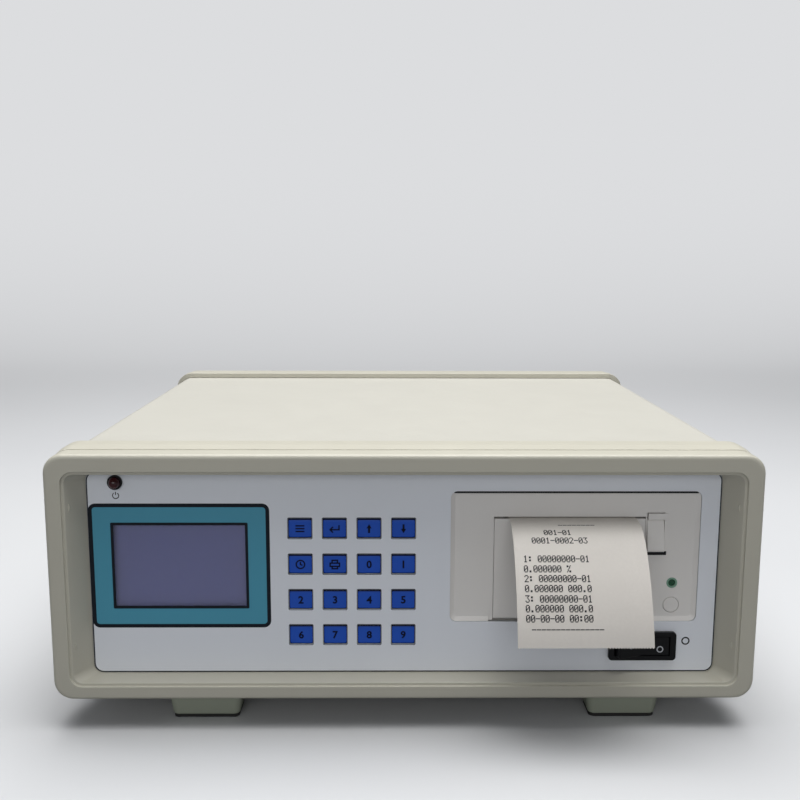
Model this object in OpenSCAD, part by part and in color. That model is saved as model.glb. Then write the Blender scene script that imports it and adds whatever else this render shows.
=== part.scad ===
// Benchtop alkali analyser: plastic-framed desktop case with a key panel, a display,
// a panel-mounted thermal printer with its paper, a rocker switch and rear sockets.
// +X is right, +Y goes from the front to the back, +Z is up. The bench is at z = 0.

/* [Case] */
// Width of the front and rear frames
case_w = 310; // [300:1:340]
// Height of the frames, without the feet
case_h = 110; // [108:1:125]
// Depth over both frames
case_d = 294; // [260:1:330]
// Radius of the frames' outer corners
corner_r = 8.5; // [6:0.5:12]
// Wall of the top and bottom covers
cover_wall = 2; // [1.5:0.1:2.5]
// Height of the feet with their pads
foot_h = 15; // [12:0.5:20]

/* [Frames] */
// Depth of one frame, front rim to rear edge
frame_d = 26; // [25:0.5:40]
// Wall of the frame's sleeve
frame_wall = 3.5; // [3.2:0.1:4.5]
// Thickness of the frame's front rim
rim_t = 3; // [2.5:0.1:4]
// Width of the flat front rim
rim_w = 7; // [5.5:0.1:7.5]
// Width of the small step inside the rim
step_w = 1.3; // [0.8:0.1:1.8]
// Depth of that step
step_d = 1.2; // [0.6:0.1:1.6]
// Depth from the rim to the printed film
recess = 12; // [9:0.5:13]
// How far the recess closes in, each side
draft_x = 5.7; // [4:0.1:6]
// How far the recess closes in, top and bottom
draft_z = 0.9; // [0.5:0.1:1.5]
// Wall of the recess
recess_wall = 2.4; // [1.8:0.1:2.6]
// Rounding of the rim's outer edge
edge_r = 2; // [1:0.1:2.4]
// How far the frames stand proud of the covers
frame_proud = 1.5; // [1.2:0.1:1.8]
// How far the frame's top and sides spread behind the rim
frame_flare = 1.8; // [0.5:0.1:2.5]
// Length of cover held inside the frame
cover_lap = 4; // [3:0.5:12]
// Distance from the rim to the groove round the frame
groove_y = 9.2; // [7:0.1:16]
// Width and depth of that groove
groove_w = 1.1; // [0.6:0.1:1.6]

/* [Front panel] */
// Printed film on the panel
film_t = 0.5; // [0.3:0.1:0.8]
// Aluminium plate of the front and rear panels
plate_t = 2; // [1.5:0.1:2.5]

/* [Display] */
// Width of the display window
window_w = 59.8; // [54:0.1:62]
// Height of the display window
window_h = 38.8; // [34:0.2:42]

/* [Keypad] */
// Width of a key
key_w = 10.6; // [9:0.1:11.5]
// Height of a key
key_h = 9.2; // [8:0.1:11]
// Key spacing, left to right
key_pitch_x = 15.4; // [14.6:0.1:16]
// Key spacing, top to bottom
key_pitch_z = 16.6; // [15:0.1:17]
// Travel of a key
key_travel = 0.5; // [0.3:0.1:0.6]

/* [Printer] */
// Width of the printer's face
printer_w = 111.8; // [110:0.2:114]
// Height of the printer's face
printer_h = 60.8; // [58:0.1:62]
// Depth of the printer behind the panel
printer_d = 48; // [46:0.5:60]
// Gap between the printer's face and the switch under it
printer_gap = 4.5; // [4:0.1:6.5]
// Width of the paper door's opening
door_w = 68.2; // [67:0.1:70]
// Height of the paper door's opening
door_h = 48.6; // [48:0.1:51]
// Door opening's left edge from the printer's left edge
door_x = 19.5; // [18:0.1:20.5]
// Slit over the door for the paper
paper_slit = 1; // [0.8:0.1:1.4]
// Width of the paper
paper_w = 57; // [56:0.5:57.5]
// Thickness of the paper as modelled
paper_t = 0.2; // [0.15:0.05:0.3]
// Radius of the paper roll
roll_r = 15; // [12:0.5:15.5]
// Radius of the platen roller
platen_r = 5; // [4.5:0.1:5.2]
// How far the paper reaches out in front of the rim
strip_reach = 24.5; // [15:0.5:30]

/* [Power switch and lights] */
// Width of the switch's rim
switch_w = 30.6; // [30:0.1:33]
// Height of the switch's rim
switch_h = 13.3; // [13:0.1:16]
// Switch's right edge from the right of the film
switch_right = 17.7; // [14:0.1:24]
// Switch's bottom edge from the bottom of the film
switch_z = 4; // [2.5:0.1:5]
// Angle the rocker leans to each side
rocker_tilt = 10; // [6:0.5:12]
// Diameter of the red power light
light_d = 5; // [4:0.1:5]

/* [Rear sockets] */
// Diameter of an electrode socket's barrel
socket_d = 9.6; // [8:0.1:11]
// Spacing of the electrode sockets
socket_pitch = 26; // [22:1:34]

/* [Hidden] */
$fn = 48;
hull_fn = 32;
cream = "#d8d2bf";
white_grey = "#dcdcd2";
film_grey = "#aab1bd";
key_blue = "#1e49a6";
printer_grey = "#b7b2ad";
black = "#1a1b20";
board_green = "#1f5a3a";
steel = "#a8abb0";
brass = "#b08d4a";

fit_gap = 0.2;      // clearance round a piece in its opening
seat_gap = 0.1;     // clearance where a moving piece stops
run_gap = 0.05;     // radial running clearance of a pin
slip_gap = 0.3;     // clearance of the covers and plates inside the frames
seam = 0.4;         // overlap of solids that are joined
eps = 0.01;

// The rim's front face lies at front_y, so that the whole box, paper included, is centred.
front_y = -(case_d - strip_reach) / 2;

// Frame openings
mouth_w = case_w - 2 * (rim_w + step_w);
mouth_h = case_h - 2 * (rim_w + step_w);
open_w = mouth_w - 2 * draft_x;
open_h = mouth_h - 2 * draft_z;
open_r = 4;
mid_z = foot_h + case_h / 2;
film_x0 = -open_w / 2;
film_x1 = open_w / 2;
film_z0 = mid_z - open_h / 2;
film_z1 = mid_z + open_h / 2;
plate_y = recess + film_t;
plate_back = plate_y + plate_t;

// Across the panel, the width that the display, keys and printer leave free is shared out:
// left of the display, between display and keys, between keys and printer, right of it.
keys_w = 3 * key_pitch_x + key_w;
keys_h = 3 * key_pitch_z + key_h;
free_w = open_w - window_w - keys_w - printer_w;
window_x = free_w * 0.198;
keys_x = window_x + window_w + free_w * 0.3446;
printer_right = free_w * 0.163;
window_z = (open_h - window_h) * 0.547;
keys_z = (open_h - keys_h) * 0.344;
printer_z = switch_z + switch_h + printer_gap;

plate_w = case_w - 2 * (frame_wall + slip_gap);
plate_h = case_h - 2 * (frame_wall + slip_gap);

// Spread of the frame at its groove, and where the full spread is reached
groove_spread = frame_flare * 0.62;
spread_y = groove_y + 8;

// Covers
cover_w = case_w - 2 * frame_proud;
cover_h = case_h - 2 * frame_proud;
cover_r = corner_r - frame_proud;
cover_y0 = frame_d - cover_lap + slip_gap;
cover_len = case_d - 2 * cover_y0;
floor_z = foot_h + frame_proud + cover_wall;
roof_z = foot_h + case_h - frame_proud - cover_wall;

// Screws: one pan-headed size for the whole case
screw_r = 1.4;
screw_len = 9;
screw_head_r = 2.8;
screw_head_h = 2;
pilot_r = screw_r + run_gap;
pass_r = screw_r + 0.2;
pillar_r = 4;
pillar_x = cover_w / 2 - cover_wall - pillar_r - 1.5;
pillar_ys = [frame_d + 10, case_d - frame_d - 10];
panel_post_r = 2.9;
panel_post_x = case_w / 2 - frame_wall - panel_post_r - 0.3;
panel_post_z = open_h / 2 - 14;

// Feet
foot_w = 35;
foot_l = 21;
foot_taper = 2;
foot_setback = 10;
foot_hole_y = 8.2;
boss_r = 3.2;
foot_x = 95.6;
foot_shift = 4.7;
pad_t = 1.5;

// Display
window_cx = film_x0 + window_x + window_w / 2;
window_cz = film_z0 + window_z + window_h / 2;
lcd_w = window_w + 6;
lcd_h = window_h + 9;
lcd_board_w = lcd_w + 1.4;
lcd_board_h = open_h * 0.751;
lcd_depth = 6;
lcd_post_r = 2.2;

// Power light
light_x = film_x0 + 13;
light_top_z = film_z1 - 4.9;

// Keypad
key_gap = 0.15;
key_sink = 0.25;
key_lip = 0.7;
key_flange_t = 0.7;
stem_r = 1.6;
tact_w = 6;
tact_h = 3.4;
tact_y = plate_back + seat_gap + key_flange_t + key_travel + 0.3;
keypad_y = tact_y + tact_h;
key_rows = [
    ["key_menu", "key_enter", "key_up", "key_down"],
    ["key_clock", "key_print", "key_0", "key_1"],
    ["key_2", "key_3", "key_4", "key_5"],
    ["key_6", "key_7", "key_8", "key_9"]
];

// Printer
printer_x0 = film_x1 - printer_right - printer_w;
printer_x1 = film_x1 - printer_right;
printer_z0 = film_z0 + printer_z;
printer_z1 = printer_z0 + printer_h;
face_y = plate_y + 1.4;
flange_m = 3.2;
flange_y = plate_back + eps;
flange_t = 3;
box_inset = 1.6;
box_wall = 1.6;
box_back = plate_back + printer_d;
bay_face = flange_y + flange_t;
door_x0 = printer_x0 + door_x;
door_x1 = door_x0 + door_w;
door_top = printer_z0 + door_h - paper_slit;
door_t = 2.6;
barrel_r = 1.5;
hinge_y = face_y + barrel_r;
hinge_z = printer_z0 + barrel_r + 0.4;
hinge_pin_r = 1.1;
hinge_pin_l = 1.6;
bay_back = box_back - box_wall;
bay_top = printer_z1 - box_inset - box_wall;
bay_floor = printer_z0 + 3.6;
bay_wall = 1.8;
side_bay_w = printer_x1 - box_inset - box_wall - door_x1 - bay_wall;
paper_x0 = door_x0 + 6.6;
paper_x1 = paper_x0 + paper_w;
platen_y = face_y + 9;
platen_z = door_top - 6.6;
shaft_r = 1.5;
gear_m = 0.5;
gear_angle = 25;
gear_w = 2.2;
gear_x = door_x0 + 0.7;
platen_teeth = 20;
idler_teeth = 36;
pinion_teeth = 12;
idler_dir = -20;
motor_x1 = door_x0 - bay_wall - seat_gap;
motor_l = 10;
motor_r = 7;
motor_shaft_r = 0.8;
pinion_dir = -62;
arm_t = 1.8;
arm_left_x = gear_x + gear_w + 0.4;
arm_right_x = paper_x1 + 1;
roll_y = bay_back - roll_r - 3;
roll_z = bay_floor + roll_r + 0.3;
latch_w = side_bay_w * 0.418848;
latch_h = 15;
latch_travel = 2.4;
latch_x0 = door_x1 + 0.5;
latch_z0 = printer_z0 + 32.5;
latch_ledge = 2.2;
latch_ear = 1.6;
latch_ear_z = 3;
latch_back_rise = 1.6;
latch_back_z1 = latch_z0 + latch_h + latch_travel + latch_back_rise;
latch_back_t = 1.4;
button_x = printer_x1 - box_inset - box_wall - side_bay_w * 0.418848;
button_z = printer_z0 + 7.4;
button_r = side_bay_w * 0.1832461;
button_travel = 0.8;
head_turn = 38;
head_y = platen_r + paper_t + 0.55;
head_t = 1.2;
head_plate_t = 1.2;
head_side = 0.6;
head_up = 3;
head_down = 7;
light_z = printer_z0 + 17.8;
printer_light_r = 1.7;
printer_board_y = plate_back + 12;
feed_switch_t = 3.8;
clamp_h = 18;
clamp_t = 1.6;

// Switch
switch_cx = film_x1 - switch_right - switch_w / 2;
switch_cz = film_z0 + switch_z + switch_h / 2;
switch_rim = 1.8;
switch_body_w = switch_w - 3.2;
switch_body_h = switch_h - 1.9;
switch_wall = 1.1;
rocker_w = switch_body_w - 2 * switch_wall;
rocker_h = switch_body_h - 2 * switch_wall;
rocker_y = recess + 0.6;
rocker_pin_r = 1;
switch_depth = 20;

// Rear side
rear_y = case_d - plate_y;
inlet_x = case_w / 2 - 51;
inlet_z = mid_z - 6;
inlet_flange_w = 50;
inlet_flange_h = 30;
inlet_flange_t = 3;
inlet_screw_x = 20;
inlet_body_w = 28;
inlet_body_h = 26;
cavity_w = 24.4;
cavity_h = 16.4;
cavity_d = 16;
fuse_w = 20;
fuse_h = 6;
fuse_d = 14;
socket_x = 115 - case_w / 2;
socket_z = mid_z + 10;
socket_len = 10;
socket_tail = 8;
socket_bore = 8;
socket_rim_t = 1.6;
socket_nut_t = 2.2;
socket_nut_r = 7.2;
insulator_l = 6;
insulator_r = 2.2;
contact_r = 0.7;
serial_x = 40;
serial_z = mid_z + 10;

// ---- shared shapes ----

module in_case() translate([0, front_y, 0]) children();

// Extrudes a shape drawn in X and Z along +Y.
module along_y(y0, len) translate([0, y0 + len, 0]) rotate([90, 0, 0]) linear_extrude(len) children();

// Extrudes a shape drawn in Y and Z along +X.
module along_x(x0, len) translate([x0, 0, 0]) rotate([90, 0, 90]) linear_extrude(len) children();

module round_rect(w, h, r) {
    square([w - 2 * r, h], center = true);
    square([w, h - 2 * r], center = true);
    for (sx = [-1, 1], sz = [-1, 1])
        translate([sx * (w / 2 - r), sz * (h / 2 - r)]) circle(r);
}

module at_mid() translate([0, mid_z]) children();

module along_z(z0, len) translate([0, 0, z0]) linear_extrude(len) children();

module box(x0, x1, y0, y1, z0, z1) translate([x0, y0, z0]) cube([x1 - x0, y1 - y0, z1 - z0]);

module pin_x(x0, len, y, z, r) translate([x0, y, z]) rotate([0, 90, 0]) cylinder(r = r, h = len);

module pin_y(x, y0, len, z, r) translate([x, y0, z]) rotate([-90, 0, 0]) cylinder(r = r, h = len);

// Pan-headed screw, its head's seat at the origin and its shank along +Z.
module screw() {
    cylinder(r = screw_r, h = screw_len);
    translate([0, 0, -screw_head_h]) cylinder(r = screw_head_r, h = screw_head_h);
}

// Half of a tooth's angle at radius r, for an involute with its thickness at the pitch circle.
function involute(a) = tan(a) * 180 / PI - a;
function half_tooth(r, rp, rb, half_p) =
    half_p + involute(gear_angle) - (r > rb ? involute(acos(rb / r)) : 0);

// Outline of a spur gear with tooth 0 centred at angle turn.
module gear_outline(teeth, turn) {
    rp = gear_m * teeth / 2;
    rb = rp * cos(gear_angle);
    ra = rp + 0.9 * gear_m;
    rf = rp - 1.15 * gear_m;
    half_p = 90 / teeth - 0.06 / rp * 180 / PI;
    radii = [for (i = [0:4]) max(rb, rf) + (ra - max(rb, rf)) * i / 4];
    flank = [for (r = radii) [r, half_tooth(r, rp, rb, half_p)]];
    root = half_tooth(rb, rp, rb, half_p);
    polygon([for (t = [0:teeth - 1])
        let (mid = turn + t * 360 / teeth)
        for (p = concat(
            [[rf, -root]],
            [for (f = flank) [f[0], -f[1]]],
            [for (i = [len(flank) - 1:-1:0]) flank[i]],
            [[rf, root]]))
        p[0] * [cos(mid + p[1]), sin(mid + p[1])]]);
}

// ---- case ----

// Outline of a frame where its top and sides have spread by that much.
module spread_outline(spread) at_mid() translate([0, spread / 2])
    round_rect(case_w + 2 * spread, case_h + spread, corner_r + spread, $fn = hull_fn);

// Outer form of a frame: a rounded front edge, then top and sides that spread in a flat curve.
module rim_body() {
    hull() {
        for (a = [0:18:90])
            along_y(edge_r * (1 - sin(a)), seam / 4) at_mid()
                round_rect(case_w - 2 * edge_r * (1 - cos(a)), case_h - 2 * edge_r * (1 - cos(a)),
                    corner_r - edge_r * (1 - cos(a)), $fn = hull_fn);
        along_y(groove_y + groove_w / 2 - seam, seam) spread_outline(groove_spread);
    }
    hull() {
        along_y(groove_y + seam / 2, groove_w / 2) spread_outline(groove_spread);
        along_y(spread_y, frame_d - spread_y) spread_outline(frame_flare);
    }
}

// Tapered recess: it narrows from y0 to y1, and runs on straight for one seam at each end.
module funnel(grow, y0, y1) hull() {
    along_y(y0 - seam, seam) at_mid()
        round_rect(mouth_w + 2 * grow, mouth_h + 2 * grow, open_r + grow, $fn = hull_fn);
    along_y(y1, seam) at_mid()
        round_rect(open_w + 2 * grow, open_h + 2 * grow, open_r + grow, $fn = hull_fn);
}

module frame() difference() {
    union() {
        difference() {
            rim_body();
            along_y(rim_t, frame_d) at_mid()
                round_rect(case_w - 2 * frame_wall, case_h - 2 * frame_wall, corner_r - frame_wall);
            along_y(frame_d - cover_lap, cover_lap + 1) at_mid()
                round_rect(cover_w + 2 * fit_gap, cover_h + 2 * fit_gap, cover_r + fit_gap);
        }
        funnel(recess_wall, step_d + seam, plate_y - seam);
        for (sx = [-1, 1], sz = [-1, 1])
            pin_y(sx * panel_post_x, rim_t - eps, plate_y - rim_t, mid_z + sz * panel_post_z, panel_post_r);
        for (sx = [-1, 1])
            translate([sx * foot_x + foot_shift, foot_setback + foot_hole_y, foot_h + frame_wall - eps])
                cylinder(r = boss_r, h = 5);
    }
    funnel(0, step_d, plate_y);
    along_y(-1, 1 + step_d) at_mid()
        round_rect(mouth_w + 2 * step_w, mouth_h + 2 * step_w, open_r + step_w);
    along_y(groove_y, groove_w) at_mid() difference() {
        square([2 * case_w, 2 * case_h], center = true);
        translate([0, groove_spread / 2]) round_rect(case_w + 2 * groove_spread - groove_w,
            case_h + groove_spread - groove_w, corner_r + groove_spread - groove_w / 2, $fn = hull_fn);
    }
    for (sx = [-1, 1], sz = [-1, 1])
        pin_y(sx * panel_post_x, plate_y - 7.5, 9, mid_z + sz * panel_post_z, pilot_r);
    for (sx = [-1, 1])
        translate([sx * foot_x + foot_shift, foot_setback + foot_hole_y, foot_h - 1])
            cylinder(r = pilot_r, h = 8.6);
}

module front_frame() in_case() color(cream) frame();

module rear_frame() in_case() color(cream) translate([0, case_d, 0]) mirror([0, 1, 0]) frame();

module cover_ring() difference() {
    round_rect(cover_w, cover_h, cover_r);
    round_rect(cover_w - 2 * cover_wall, cover_h - 2 * cover_wall, cover_r - cover_wall);
}

module top_cover() in_case() color(white_grey) difference() {
    union() {
        along_y(cover_y0, cover_len) at_mid() intersection() {
            cover_ring();
            translate([-case_w, fit_gap / 2]) square([2 * case_w, case_h]);
        }
        for (sx = [-1, 1], y = pillar_ys)
            translate([sx * pillar_x, y, mid_z + fit_gap]) cylinder(r = pillar_r, h = roof_z - mid_z);
    }
    for (sx = [-1, 1], y = pillar_ys)
        translate([sx * pillar_x, y, mid_z - 1]) cylinder(r = pilot_r, h = 10);
}

vent_slots = 9;
vent_pitch = 9;
vent_w = 3;
vent_l = 42;

module bottom_cover() in_case() color(white_grey) difference() {
    union() {
        along_y(cover_y0, cover_len) at_mid() intersection() {
            cover_ring();
            translate([-case_w, -case_h]) square([2 * case_w, case_h]);
        }
        for (sx = [-1, 1], y = pillar_ys)
            translate([sx * pillar_x, y, floor_z - 1]) cylinder(r = pillar_r + 0.8, h = mid_z - floor_z + 1);
        for (sx = [0, 1])
            mirror([sx, 0, 0]) lap_rib();
        for (p = board_posts) translate([p[0], p[1], floor_z - eps]) cylinder(r = 3.2, h = post_h);
        for (p = supply_posts) translate([p[0], p[1], floor_z - eps]) cylinder(r = 3.2, h = post_h);
    }
    for (sx = [-1, 1], y = pillar_ys) translate([sx * pillar_x, y, 0]) {
        cylinder(r = pass_r, h = mid_z + 1);
        cylinder(r = screw_head_r + fit_gap, h = mid_z - 4);
    }
    for (p = concat(board_posts, supply_posts)) translate([p[0], p[1], floor_z - 1])
        cylinder(r = pilot_r, h = post_h + 2);
    for (side = [-1, 1], i = [0:vent_slots - 1])
        translate([side * 70 + (i - (vent_slots - 1) / 2) * vent_pitch, case_d / 2, foot_h + cover_wall])
            linear_extrude(8, center = true) round_rect(vent_w, vent_l, vent_w / 2 - eps);
}

// Upstand inside the side wall that the top cover's skirt slides over.
module lap_rib() {
    rib_x = cover_w / 2 - cover_wall;
    rib_y0 = pillar_ys[0] + 12;
    rib_y1 = pillar_ys[1] - 12;
    box(rib_x - 1.8, rib_x - fit_gap, rib_y0, rib_y1, mid_z - 5, mid_z + 5);
    box(rib_x - 1, rib_x + eps, rib_y0, rib_y1, mid_z - 5, mid_z - 1);
}

module foot() translate([0, 0, foot_h]) difference() {
    hull() {
        translate([0, foot_l / 2, -1]) linear_extrude(1 - eps) round_rect(foot_w, foot_l, 4, $fn = hull_fn);
        translate([0, foot_l / 2, -(foot_h - pad_t)]) linear_extrude(1)
            round_rect(foot_w - 2 * foot_taper, foot_l - 2 * foot_taper, 3, $fn = hull_fn);
    }
    translate([0, foot_hole_y, -foot_h]) cylinder(r = screw_head_r + fit_gap, h = foot_h - 3);
    translate([0, foot_hole_y, -foot_h]) cylinder(r = pass_r, h = foot_h + 1);
}

module each_foot() for (sx = [-1, 1]) {
    translate([sx * foot_x + foot_shift, foot_setback, 0]) children(0);
    translate([sx * foot_x + foot_shift, case_d - foot_setback, 0]) mirror([0, 1, 0]) children(0);
}

module feet() in_case() color(cream) each_foot() foot();

module foot_pads() in_case() color(black) each_foot()
    translate([0, foot_l / 2, 0]) linear_extrude(pad_t) difference() {
        round_rect(foot_w - 2 * foot_taper - 1, foot_l - 2 * foot_taper - 1, 2.5);
        translate([0, foot_hole_y - foot_l / 2]) circle(screw_head_r + fit_gap);
    }

module screws() in_case() color(steel) {
    for (sx = [-1, 1], y = pillar_ys) translate([sx * pillar_x, y, mid_z - 4]) screw();
    for (sx = [-1, 1], sz = [-1, 1]) {
        translate([sx * panel_post_x, plate_back, mid_z + sz * panel_post_z]) rotate([90, 0, 0]) screw();
        translate([sx * panel_post_x, case_d - plate_back, mid_z + sz * panel_post_z])
            rotate([-90, 0, 0]) screw();
    }
    for (sx = [-1, 1]) translate([inlet_x + sx * inlet_screw_x, rear_y + inlet_flange_t, inlet_z])
        rotate([90, 0, 0]) screw();
    each_foot() translate([0, foot_hole_y, foot_h - 3]) screw();
    for (p = board_posts) translate([p[0], p[1], board_z + board_t]) rotate([180, 0, 0]) short_screw();
    for (p = supply_posts) translate([p[0], p[1], board_z + supply_foot]) rotate([180, 0, 0]) short_screw();
}

module short_screw() {
    cylinder(r = screw_r, h = post_h);
    translate([0, 0, -screw_head_h]) cylinder(r = screw_head_r, h = screw_head_h);
}

// ---- front panel, display and lights ----

module panel_cuts(grow) {
    translate([window_cx, window_cz]) square([window_w, window_h], center = true);
    for (row = [0:3], col = [0:3]) translate(key_at(row, col))
        square([key_w, key_h], center = true);
    translate([(printer_x0 + printer_x1) / 2, (printer_z0 + printer_z1) / 2])
        round_rect(printer_w, printer_h, 3);
    translate([light_x, light_top_z]) circle(light_d / 2 + 0.6);
    translate([switch_cx, switch_cz])
        square([switch_body_w + 2 * fit_gap + grow, switch_body_h + 2 * fit_gap + grow], center = true);
}

function key_at(row, col) = [
    film_x0 + keys_x + key_w / 2 + col * key_pitch_x,
    film_z0 + keys_z + key_h / 2 + (3 - row) * key_pitch_z];

module front_panel() in_case() color(steel) difference() {
    union() {
        along_y(plate_y, plate_t) difference() {
            at_mid() round_rect(plate_w, plate_h, corner_r - frame_wall - slip_gap);
            panel_cuts(0);
        }
        for (p = lcd_posts()) pin_y(p[0], plate_back - eps, lcd_depth, p[1], lcd_post_r);
        for (p = key_posts()) pin_y(p[0], plate_back - eps, keypad_y - plate_back, p[1], lcd_post_r);
    }
    for (sx = [-1, 1], sz = [-1, 1])
        pin_y(sx * panel_post_x, plate_y - 1, plate_t + 2, mid_z + sz * panel_post_z, pass_r);
}

module panel_film() in_case() color(film_grey) along_y(recess, film_t) difference() {
    at_mid() round_rect(open_w - 2 * fit_gap, open_h - 2 * fit_gap, open_r - fit_gap);
    panel_cuts(0);
}

module display_window() in_case() color("#8a8fa8", 0.6)
    box(window_cx - window_w / 2 + seat_gap, window_cx + window_w / 2 - seat_gap,
        recess + 0.3, plate_back, window_cz - window_h / 2 + seat_gap, window_cz + window_h / 2 - seat_gap);

function lcd_posts() = [for (sx = [-1, 1], sz = [-1, 1])
    [window_cx + sx * (lcd_board_w / 2 - 3), window_cz + sz * (lcd_board_h / 2 - 3)]];

// The keypad's posts stand in the gaps between four keys.
function key_posts() = [for (row = [0, 2], col = [0, 2])
    key_at(row, col) + [key_pitch_x, -key_pitch_z] / 2];

module lcd_bezel() in_case() color(black) translate([window_cx, 0, window_cz]) difference() {
    along_y(plate_back + 0.2, lcd_depth - 0.3) square([lcd_w, lcd_h], center = true);
    along_y(plate_back, lcd_depth) square([window_w + 1, window_h + 1], center = true);
    along_y(plate_back + 1.2, lcd_depth) square([lcd_w - 2, lcd_h - 2], center = true);
}

module lcd_glass() in_case() color("#5c5d78") translate([window_cx, 0, window_cz])
    along_y(plate_back + 1.3, 2.8) square([lcd_w - 2.4, lcd_h - 2.4], center = true);

module lcd_board() in_case() color(board_green) translate([window_cx, 0, window_cz]) {
    along_y(plate_back + lcd_depth, 1.6) square([lcd_board_w, lcd_board_h], center = true);
    along_y(plate_back + 4.2, lcd_depth - 4.2) square([lcd_w - 3, lcd_h - 3], center = true);
    along_y(plate_back + lcd_depth + 1.6, 1.2) for (i = [-1, 1]) translate([i * 16, 0]) circle(7);
}

module power_light() in_case() color("#7a1020") {
    x = light_x;
    z = light_top_z;
    r = light_d / 2;
    pin_y(x, recess - 1.6, 7, z, r);
    intersection() {
        translate([x, recess - 1.6, z]) sphere(r);
        box(x - r, x + r, recess - 1.6 - r, recess - 1.5, z - r, z + r);
    }
    pin_y(x, recess + 5.4, 1, z, r + 0.4);
}

module light_holder() in_case() color(black) {
    x = light_x;
    z = light_top_z;
    difference() {
        union() {
            pin_y(x, recess - 1.2, 1.2, z, light_d / 2 + 0.8);
            pin_y(x, recess - eps, 5.3, z, light_d / 2 + 0.5);
        }
        pin_y(x, recess - 2, 8, z, light_d / 2 + run_gap);
    }
}

// ---- keypad ----

// One key: a cap in the panel's window, a flange behind the plate and a stem in its switch.
module key_cap(name) in_case() color(key_blue)
    for (row = [0:3], col = [0:3]) if (key_rows[row][col] == name) {
        p = key_at(row, col);
        translate([p[0], 0, p[1]]) {
            along_y(recess + key_sink, plate_back - recess - key_sink + seat_gap + eps)
                round_rect(key_w - 2 * key_gap, key_h - 2 * key_gap, 0.6);
            along_y(plate_back + seat_gap, key_flange_t)
                round_rect(key_w + 2 * key_lip, key_h + 2 * key_lip, 0.6);
            pin_y(0, plate_back + seat_gap, key_flange_t + key_travel + 1.2, 0, stem_r);
        }
    }

module keypad_board() in_case() color(board_green) {
    a = key_at(3, 0);
    b = key_at(0, 3);
    for (row = [0:3], col = [0:3]) {
        p = key_at(row, col);
        difference() {
            translate([p[0], 0, p[1]]) along_y(tact_y, tact_h - eps) square(tact_w, center = true);
            pin_y(p[0], tact_y - 1, 3.2, p[1], stem_r + run_gap);
        }
    }
    along_y(keypad_y, 1.6) translate([a[0] - tact_w, a[1] - tact_w])
        square([b[0] - a[0] + 2 * tact_w, b[1] - a[1] + 2 * tact_w]);
}

// ---- printer ----

// Moulded box with a flange behind the panel, a paper bay, and a bay at each side of it.
module printer_housing() in_case() color(printer_grey) {
    housing_box();
    pin_x(door_x0 - seam, gear_x + gear_w + seam - door_x0, idler_y(), idler_z(), idler_axle_r - run_gap);
}

module housing_box() difference() {
    union() {
        translate([(printer_x0 + printer_x1) / 2, 0, (printer_z0 + printer_z1) / 2]) {
            along_y(face_y, flange_y - face_y + eps)
                round_rect(printer_w - 2 * fit_gap, printer_h - 2 * fit_gap, 3 - fit_gap);
            along_y(flange_y, flange_t)
                round_rect(printer_w + 2 * flange_m, printer_h + 2 * flange_m, 3 + flange_m);
            along_y(flange_y + flange_t - eps, box_back - flange_y - flange_t)
                square([printer_w - 2 * box_inset, printer_h - 2 * box_inset], center = true);
        }
    }
    // door opening and paper bay
    box(door_x0, door_x1, face_y - 1, bay_back, printer_z0 + box_inset + 2, printer_z0 + door_h);
    box(door_x0, door_x1, face_y - 1, hinge_y + barrel_r + 0.6, printer_z0 - eps, printer_z0 + door_h);
    box(door_x0, door_x1, bay_face, bay_back, bay_floor, bay_top);
    // electronics bays at the left and right, open at the back
    box(printer_x0 + box_inset + box_wall, door_x0 - bay_wall, bay_face, box_back + 1,
        printer_z0 + box_inset + box_wall, bay_top);
    box(door_x1 + bay_wall, printer_x1 - box_inset - box_wall, bay_face, box_back + 1,
        printer_z0 + box_inset + box_wall, bay_top);
    // hinge bores, gear shafts, latch slot, light and button holes
    pin_x(door_x0 - hinge_pin_l, door_w + 2 * hinge_pin_l, hinge_y, hinge_z, hinge_pin_r + run_gap);
    pin_x(door_x0 - bay_wall - 1, bay_wall + 2, pinion_y(), pinion_z(), motor_shaft_r + fit_gap);
    box(latch_x0, latch_x0 + latch_w, face_y - 1, bay_face + 1, latch_z0, latch_z0 + latch_h + latch_travel + 0.6);
    box(latch_x0, latch_x0 + latch_w + latch_ear + fit_gap, bay_face, bay_face + latch_back_t + 2 * seat_gap,
        latch_z0 + latch_ear_z - fit_gap, latch_back_z1 + latch_travel + fit_gap);
    pin_y(button_x, face_y - 1, 8, button_z, button_r + fit_gap);
    pin_y(button_x, face_y - 1, 8, light_z, printer_light_r + run_gap);
}

function idler_y() = platen_y + gear_m * (platen_teeth + idler_teeth) / 2 * cos(idler_dir);
function idler_z() = platen_z + gear_m * (platen_teeth + idler_teeth) / 2 * sin(idler_dir);
function pinion_y() = idler_y() + gear_m * (idler_teeth + pinion_teeth) / 2 * cos(pinion_dir);
function pinion_z() = idler_z() + gear_m * (idler_teeth + pinion_teeth) / 2 * sin(pinion_dir);

// Door leaf with a hinge barrel along its bottom edge and two arms that carry the platen.
module printer_door() in_case() color(printer_grey) difference() {
    union() {
        box(door_x0 + fit_gap, door_x1 - fit_gap, face_y, face_y + door_t, hinge_z, door_top);
        pin_x(door_x0 + fit_gap, door_w - 2 * fit_gap, hinge_y, hinge_z, barrel_r);
        pin_x(door_x0 - hinge_pin_l + fit_gap, door_w + 2 * hinge_pin_l - 2 * fit_gap,
            hinge_y, hinge_z, hinge_pin_r);
        for (x = [arm_left_x, arm_right_x])
            box(x, x + arm_t, face_y + door_t - eps, platen_y + 3.4, platen_z - 9, platen_z + 2.6);
    }
    for (x = [arm_left_x, arm_right_x])
        pin_x(x - 1, arm_t + 2, platen_y, platen_z, shaft_r + run_gap);
}

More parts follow.
